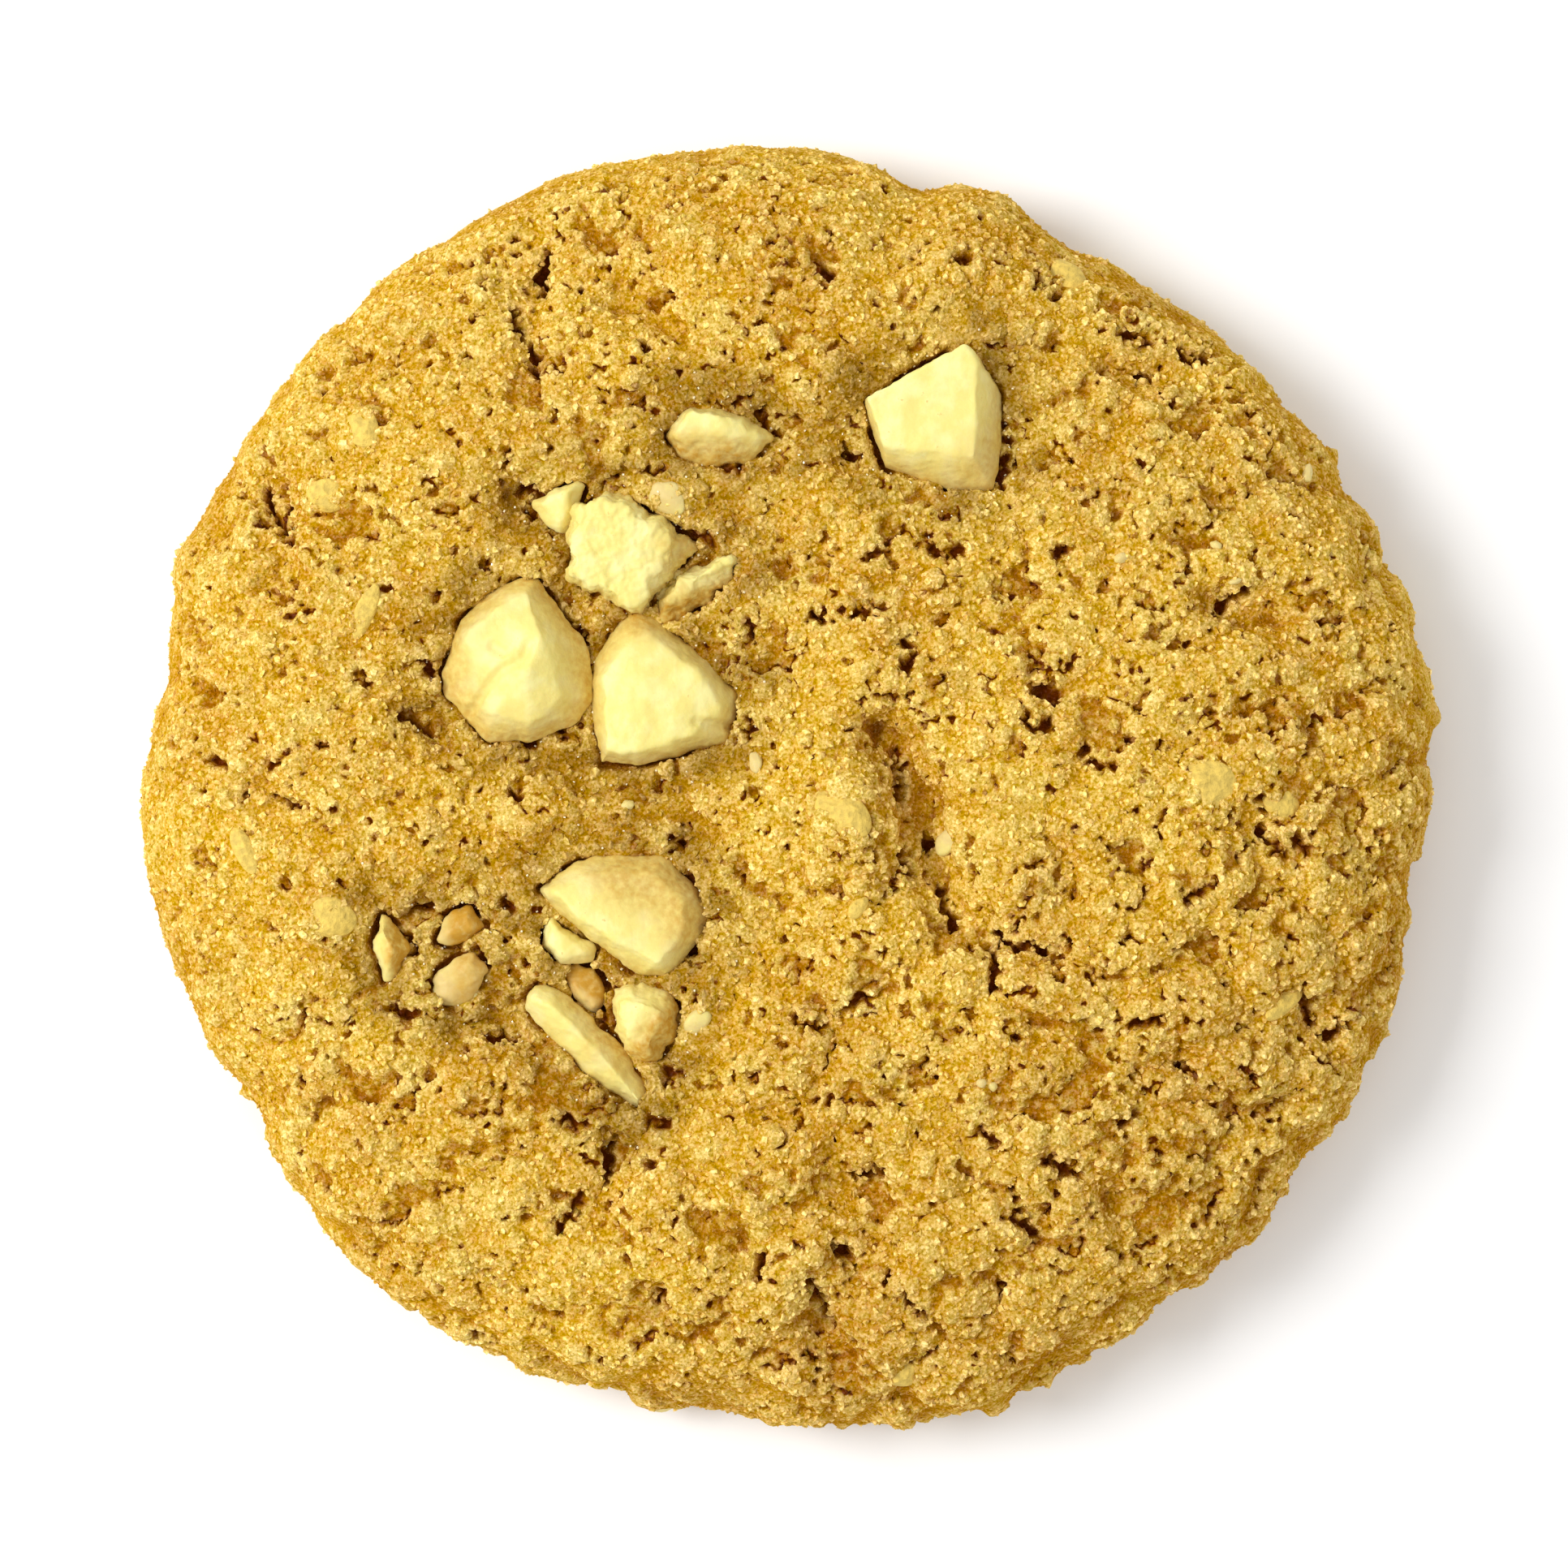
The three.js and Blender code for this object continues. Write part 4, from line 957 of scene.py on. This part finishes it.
class COOKIE_OT_nuts(bpy.types.Operator):
    """Make the chopped nuts"""

    bl_idname = "cookie.nuts"
    bl_label = "Chopped nuts"

    def execute(self, context):
        settings = context.scene.cookie_nuts
        grooves = line_helper("grooves", GROOVES)
        finishes = {
            "nut": nut_flesh(settings.flesh, settings.blanched, settings.toasted, "chopped nut"),
            "browned_nut": nut_flesh(settings.bit, settings.flesh, settings.toasted, "toasted chopped nut"),
        }
        for node in NUTS:
            nut = copy_of_node(node, "chopped_" + node)
            bpy.ops.object.mode_set(mode="EDIT")
            bpy.ops.mesh.select_all(action="SELECT")
            bpy.ops.mesh.dissolve_limited(angle_limit=CHOPPED_EDGE)
            bpy.ops.mesh.bevel(offset=settings.edge_radius, segments=2, affect="EDGES", clamp_overlap=True)
            bpy.ops.mesh.select_all(action="SELECT")
            centre = sum(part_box(node), Vector()) / 2
            *_, wider = NUTS[node]
            bpy.ops.transform.resize(value=(wider, wider, 1), center_override=centre)
            bpy.ops.object.mode_set(mode="OBJECT")
            apply_modifier(nut, "REMESH", mode="VOXEL", voxel_size=NUT_FACE)
            apply_modifier(nut, "SMOOTH", factor=0.5, iterations=1)
            apply_modifier(nut, "NODES", node_group=self.broken_faces(node, settings, grooves))
            slot = "browned_nut" if node in BROWNED_NUTS else "nut"
            finish_piece(nut, finishes[slot])
            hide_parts(node)
        bpy.data.objects.remove(grooves)
        return {"FINISHED"}

    @staticmethod
    def broken_faces(node, settings, grooves):
        """Waves, grooves and notches of the broken faces, and where the nut is browned by the oven, with
        painted shade low on its sides
        """
        turn, start, strength, rough, _ = NUTS[node]
        low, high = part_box(node)
        centre = (low + high) / 2
        reach = max(high.x - low.x, high.y - low.y) / 2
        toward = Euler((0, 0, math.radians(turn))).to_matrix() @ Vector((1 / reach, 0, 0))
        tree, begin, end = new_shape_tree("Broken faces")
        place = add_node(tree, "GeometryNodeInputPosition")
        normal = add_node(tree, "GeometryNodeInputNormal")
        wave = add_node(
            tree, "ShaderNodeTexNoise",
            {"Vector": place, "Scale": rough / settings.wave_width, "Detail": 3.0},
        )
        lift = add_node(
            tree, "ShaderNodeMapRange", {"Value": wave, "To": (-settings.wave_height, settings.wave_height)}
        )
        grit = add_node(
            tree, "ShaderNodeTexNoise", {"Vector": place, "Scale": 1 / settings.grit_width, "Detail": 2.0}
        )
        grainy = add_node(
            tree, "ShaderNodeMath", {0: grit, 1: settings.grit_height * rough**2, 2: lift},
            operation="MULTIPLY_ADD",
        )
        groove = along_lines(tree, place, grooves, settings.groove_width, ragged=0.1)
        carved = add_node(
            tree, "ShaderNodeMath", {0: groove, 1: -settings.groove_depth, 2: grainy},
            operation="MULTIPLY_ADD",
        )
        raised = add_node(tree, "ShaderNodeVectorMath", {0: normal, "Scale": carved}, operation="SCALE")
        plan = add_node(tree, "ShaderNodeVectorMath", {0: place, 1: (1, 1, 0)}, operation="MULTIPLY")
        outline = add_node(tree, "ShaderNodeTexNoise", {"Vector": plan, "Scale": 1 / settings.notch_width})
        depth = settings.notch_depth * rough
        notch = add_node(
            tree, "ShaderNodeMapRange", {"Value": outline, "From": (0.3, 0.7), "To": (-depth, depth)}
        )
        outward = add_node(tree, "ShaderNodeVectorMath", {0: normal, 1: (1, 1, 0)}, operation="MULTIPLY")
        notched = add_node(tree, "ShaderNodeVectorMath", {0: outward, "Scale": notch}, operation="SCALE")
        offset = add_node(tree, "ShaderNodeVectorMath", {0: raised, 1: notched}, operation="ADD")
        away = add_node(tree, "ShaderNodeVectorMath", {0: place, 1: centre}, operation="SUBTRACT")
        along = add_node(tree, "ShaderNodeVectorMath", {0: away, 1: toward}, operation="DOT_PRODUCT")
        ragged = add_node(tree, "ShaderNodeMath", {0: wave, 1: 0.8, 2: along}, operation="MULTIPLY_ADD")
        toast = add_node(
            tree, "ShaderNodeMapRange",
            {"Value": ragged, "From": (start + 0.35, start + 1.1), "To Max": strength},
            interpolation_type="SMOOTHSTEP",
        )
        height = add_node(tree, "ShaderNodeSeparateXYZ", {0: place})
        # Darker low down towards the dough: partly browning where the nut touched the dough, partly painted
        # shade on its sides
        low_down = add_node(
            tree, "ShaderNodeMapRange",
            {"Value": out(height, "Z"), "From": (high.z - 2.6 * MM, high.z - 0.5 * MM), "To": (0.6, 0.0)},
        )
        # browning and painted shade as one share, kept as toast
        browned = joint_share(tree, "MAXIMUM", toast, low_down)
        shape = marked(tree, begin, {"toast": browned})
        moved = add_node(tree, "GeometryNodeSetPosition", {"Geometry": shape, "Offset": offset})
        set_inputs(tree, end, {0: moved})
        return tree


class COOKIE_OT_crumbs(bpy.types.Operator):
    """Spread the baked crumbs over the crust"""

    bl_idname = "cookie.crumbs"
    bl_label = "Crumbs"

    def execute(self, context):
        settings = context.scene.cookie_crumbs
        dough = bpy.data.objects["baked_dough"]
        finish = baked_dough(context.scene.cookie_dough, "baked oat crumb", bump_height=0.04 * MM)
        kinds = (
            ("crumbs_coarse", settings.coarse, 4, 0.66 * MM, "cover"),
            ("crumbs_middling", settings.middling, 4, 0.5 * MM, "cover"),
            ("crumbs_fine", settings.fine, 3, 0.5 * MM, "grit"),
            ("crumbs_grit", settings.grit, 3, 0.5 * MM, "grit"),
            ("crumbs_dust", settings.dust, 3, 0.5 * MM, "grit"),
        )
        for k, (name, width, sides, spacing, cover) in enumerate(kinds):
            bpy.ops.object.select_all(action="DESELECT")
            bpy.ops.mesh.primitive_uv_sphere_add(segments=sides, ring_count=2, radius=width / 2)
            grains = context.active_object
            grains.name = name
            bpy.ops.object.mode_set(mode="EDIT")
            bpy.ops.transform.vertex_random(offset=0.12 * width, seed=k)
            bpy.ops.object.mode_set(mode="OBJECT")
            tree = scatter(
                dough, density=4 / spacing**2, spacing=spacing, sizes=(0.6, 1.4),
                rise=-0.16 * width, seed=settings.seed + 10 * k, cover=cover,
            )
            apply_modifier(grains, "NODES", node_group=tree)
            finish_piece(grains, finish)
            bpy.ops.object.shade_flat()
        return {"FINISHED"}


class COOKIE_OT_flakes(bpy.types.Operator):
    """Lay the rolled oat flakes and the bits of nut on the crust, and the nut sliver under the rim"""

    bl_idname = "cookie.flakes"
    bl_label = "Oat flakes"

    def execute(self, context):
        settings = context.scene.cookie_flakes
        nuts = context.scene.cookie_nuts
        finish = oat_bran(settings)
        pale = nut_flesh(nuts.bit, nuts.flesh, nuts.toasted, "nut crumb")
        dough = bpy.data.objects["baked_dough"]
        for name, spots, rise, shape, material, slot in (
            ("oat_flakes", FLAKES, settings.rise, self.flake, finish, "dough"),
            ("nut_bits", NUT_BITS, settings.bit_rise, self.chip, pale, "nut"),
        ):
            pieces = []
            for k, (x, y, long, wide, thick, turn) in enumerate(spots):
                place, normal = crust_below(dough, x * MM, y * MM, 0.4 * wide * MM)
                piece = shape(k, long * MM, wide * MM, thick * MM)
                piece.location = place + normal * (rise - thick * MM / 2)
                piece.rotation_euler = self.laid(normal, turn)
                bpy.ops.object.transform_apply()
                pieces.append(piece)
            join(pieces[0], pieces[1:])
            pieces[0].name = name
            finish_piece(pieces[0], material)

        sliver = self.chip(len(NUT_BITS), *SLIVER_SIZE)
        sliver.location = SLIVER_PLACE
        sliver.rotation_euler = self.laid(Vector(SLIVER_UP).normalized(), SLIVER_TURN)
        bpy.ops.object.transform_apply()
        sliver.name = "rim_sliver"
        finish_piece(sliver, pale)
        return {"FINISHED"}

    @staticmethod
    def laid(normal, turn):
        """A flat lie on the crust, turned in its own plane"""
        flat = normal.to_track_quat("Z", "Y").to_matrix()
        return (flat @ Euler((0, 0, math.radians(turn))).to_matrix()).to_euler()

    @staticmethod
    def flake(seed, long, wide, thick):
        """One flake: a flattened grain with an uneven outline"""
        bpy.ops.object.select_all(action="DESELECT")
        bpy.ops.mesh.primitive_uv_sphere_add(segments=10, ring_count=6, radius=0.5)
        flake = bpy.context.active_object
        bpy.ops.object.mode_set(mode="EDIT")
        bpy.ops.transform.resize(value=(long, wide, thick))
        bpy.ops.transform.vertex_random(offset=0.17 * wide, seed=seed)
        bpy.ops.object.mode_set(mode="OBJECT")
        apply_modifier(flake, "SUBSURF", levels=2, render_levels=2)
        return flake

    @staticmethod
    def chip(seed, long, wide, thick):
        """One chip of nut: an uneven piece with broken faces and slightly worn edges"""
        bpy.ops.object.select_all(action="DESELECT")
        bpy.ops.mesh.primitive_ico_sphere_add(subdivisions=1, radius=0.5)
        chip = bpy.context.active_object
        bpy.ops.object.mode_set(mode="EDIT")
        bpy.ops.transform.resize(value=(long, wide, thick))
        bpy.ops.transform.vertex_random(offset=0.15 * wide, seed=seed)
        bpy.ops.mesh.bevel(offset=0.08 * wide, segments=2, affect="EDGES", clamp_overlap=True)
        bpy.ops.object.mode_set(mode="OBJECT")
        return chip


class COOKIE_OT_sugar(bpy.types.Operator):
    """Spread sugar crystals over the crust round the nuts"""

    bl_idname = "cookie.sugar"
    bl_label = "Sugar crystals"

    def execute(self, context):
        settings = context.scene.cookie_sugar
        bpy.ops.object.select_all(action="DESELECT")
        bpy.ops.mesh.primitive_cube_add(size=settings.grain)
        crystals = context.active_object
        crystals.name = "sugar_crystals"
        tree = scatter(
            bpy.data.objects["baked_dough"], density=0.5 / MM**2, spacing=0.4 * MM, sizes=(0.5, 1.2),
            rise=0.05 * MM, seed=91, cover="damp",
        )
        apply_modifier(crystals, "NODES", node_group=tree)
        finish_piece(crystals, sugar(settings))
        bpy.ops.object.shade_flat()
        return {"FINISHED"}


class COOKIE_OT_stage(bpy.types.Operator):
    """Set up the floor, the light and the camera"""

    bl_idname = "cookie.stage"
    bl_label = "Stage"

    def execute(self, context):
        settings = context.scene.cookie_stage
        bpy.ops.object.select_all(action="DESELECT")
        bpy.ops.mesh.primitive_plane_add(size=FLOOR_WIDTH)
        floor = context.active_object
        floor.name = "floor"
        paint, tree, shader = new_finish("pale matt floor")
        set_inputs(tree, shader, {"Base Color": (*settings.floor, 1), "Roughness": 0.9})
        floor.data.materials.append(paint)

        lamp = bpy.data.lights.new("key", "AREA")
        lamp.energy = settings.key_power
        lamp.size = KEY_WIDTH
        key = bpy.data.objects.new("key", lamp)
        key.location = KEY_PLACE
        key.rotation_euler = (-Vector(key.location)).to_track_quat("-Z", "Y").to_euler()
        context.scene.collection.objects.link(key)

        world = bpy.data.worlds.new("studio")
        world.use_nodes = True
        sky = world.node_tree.nodes["Background"]
        set_inputs(world.node_tree, sky, {"Color": (1, 1, 1, 1), "Strength": settings.sky})
        context.scene.world = world
        context.scene.view_settings.view_transform = "Standard"

        lens = bpy.data.cameras.new("camera")
        lens.lens = lens.sensor_width * PHOTO_DISTANCE / PHOTO_WIDTH
        camera = bpy.data.objects.new("camera", lens)
        camera.location = (0, 0, PHOTO_DISTANCE + RIM_HEIGHT)
        context.scene.collection.objects.link(camera)
        context.scene.camera = camera
        return {"FINISHED"}


class COOKIE_PT_panel(bpy.types.Panel):
    """The steps that make the cookie, in order"""

    bl_idname = "COOKIE_PT_panel"
    bl_label = "Oatmeal Cookie"
    bl_space_type = "VIEW_3D"
    bl_region_type = "UI"
    bl_category = "Cookie"

    def draw(self, context):
        for operator in OPERATORS:
            self.layout.operator(operator.bl_idname)


SETTINGS = {
    "cookie_dough": CookieDough,
    "cookie_nuts": CookieNuts,
    "cookie_crumbs": CookieCrumbs,
    "cookie_flakes": CookieFlakes,
    "cookie_sugar": CookieSugar,
    "cookie_stage": CookieStage,
}
OPERATORS = (
    COOKIE_OT_stage,
    COOKIE_OT_dough,
    COOKIE_OT_nuts,
    COOKIE_OT_crumbs,
    COOKIE_OT_flakes,
    COOKIE_OT_sugar,
)


def register():
    for name, group in SETTINGS.items():
        bpy.utils.register_class(group)
        setattr(bpy.types.Scene, name, PointerProperty(type=group))
    for kind in (*OPERATORS, COOKIE_PT_panel):
        bpy.utils.register_class(kind)


def unregister():
    for kind in (COOKIE_PT_panel, *reversed(OPERATORS)):
        bpy.utils.unregister_class(kind)
    for name, group in SETTINGS.items():
        delattr(bpy.types.Scene, name)
        bpy.utils.unregister_class(group)


def main():
    register()
    bpy.ops.cookie.stage()
    bpy.ops.cookie.dough()
    bpy.ops.cookie.nuts()
    bpy.ops.cookie.crumbs()
    bpy.ops.cookie.flakes()
    bpy.ops.cookie.sugar()


if __name__ == "__main__":
    main()
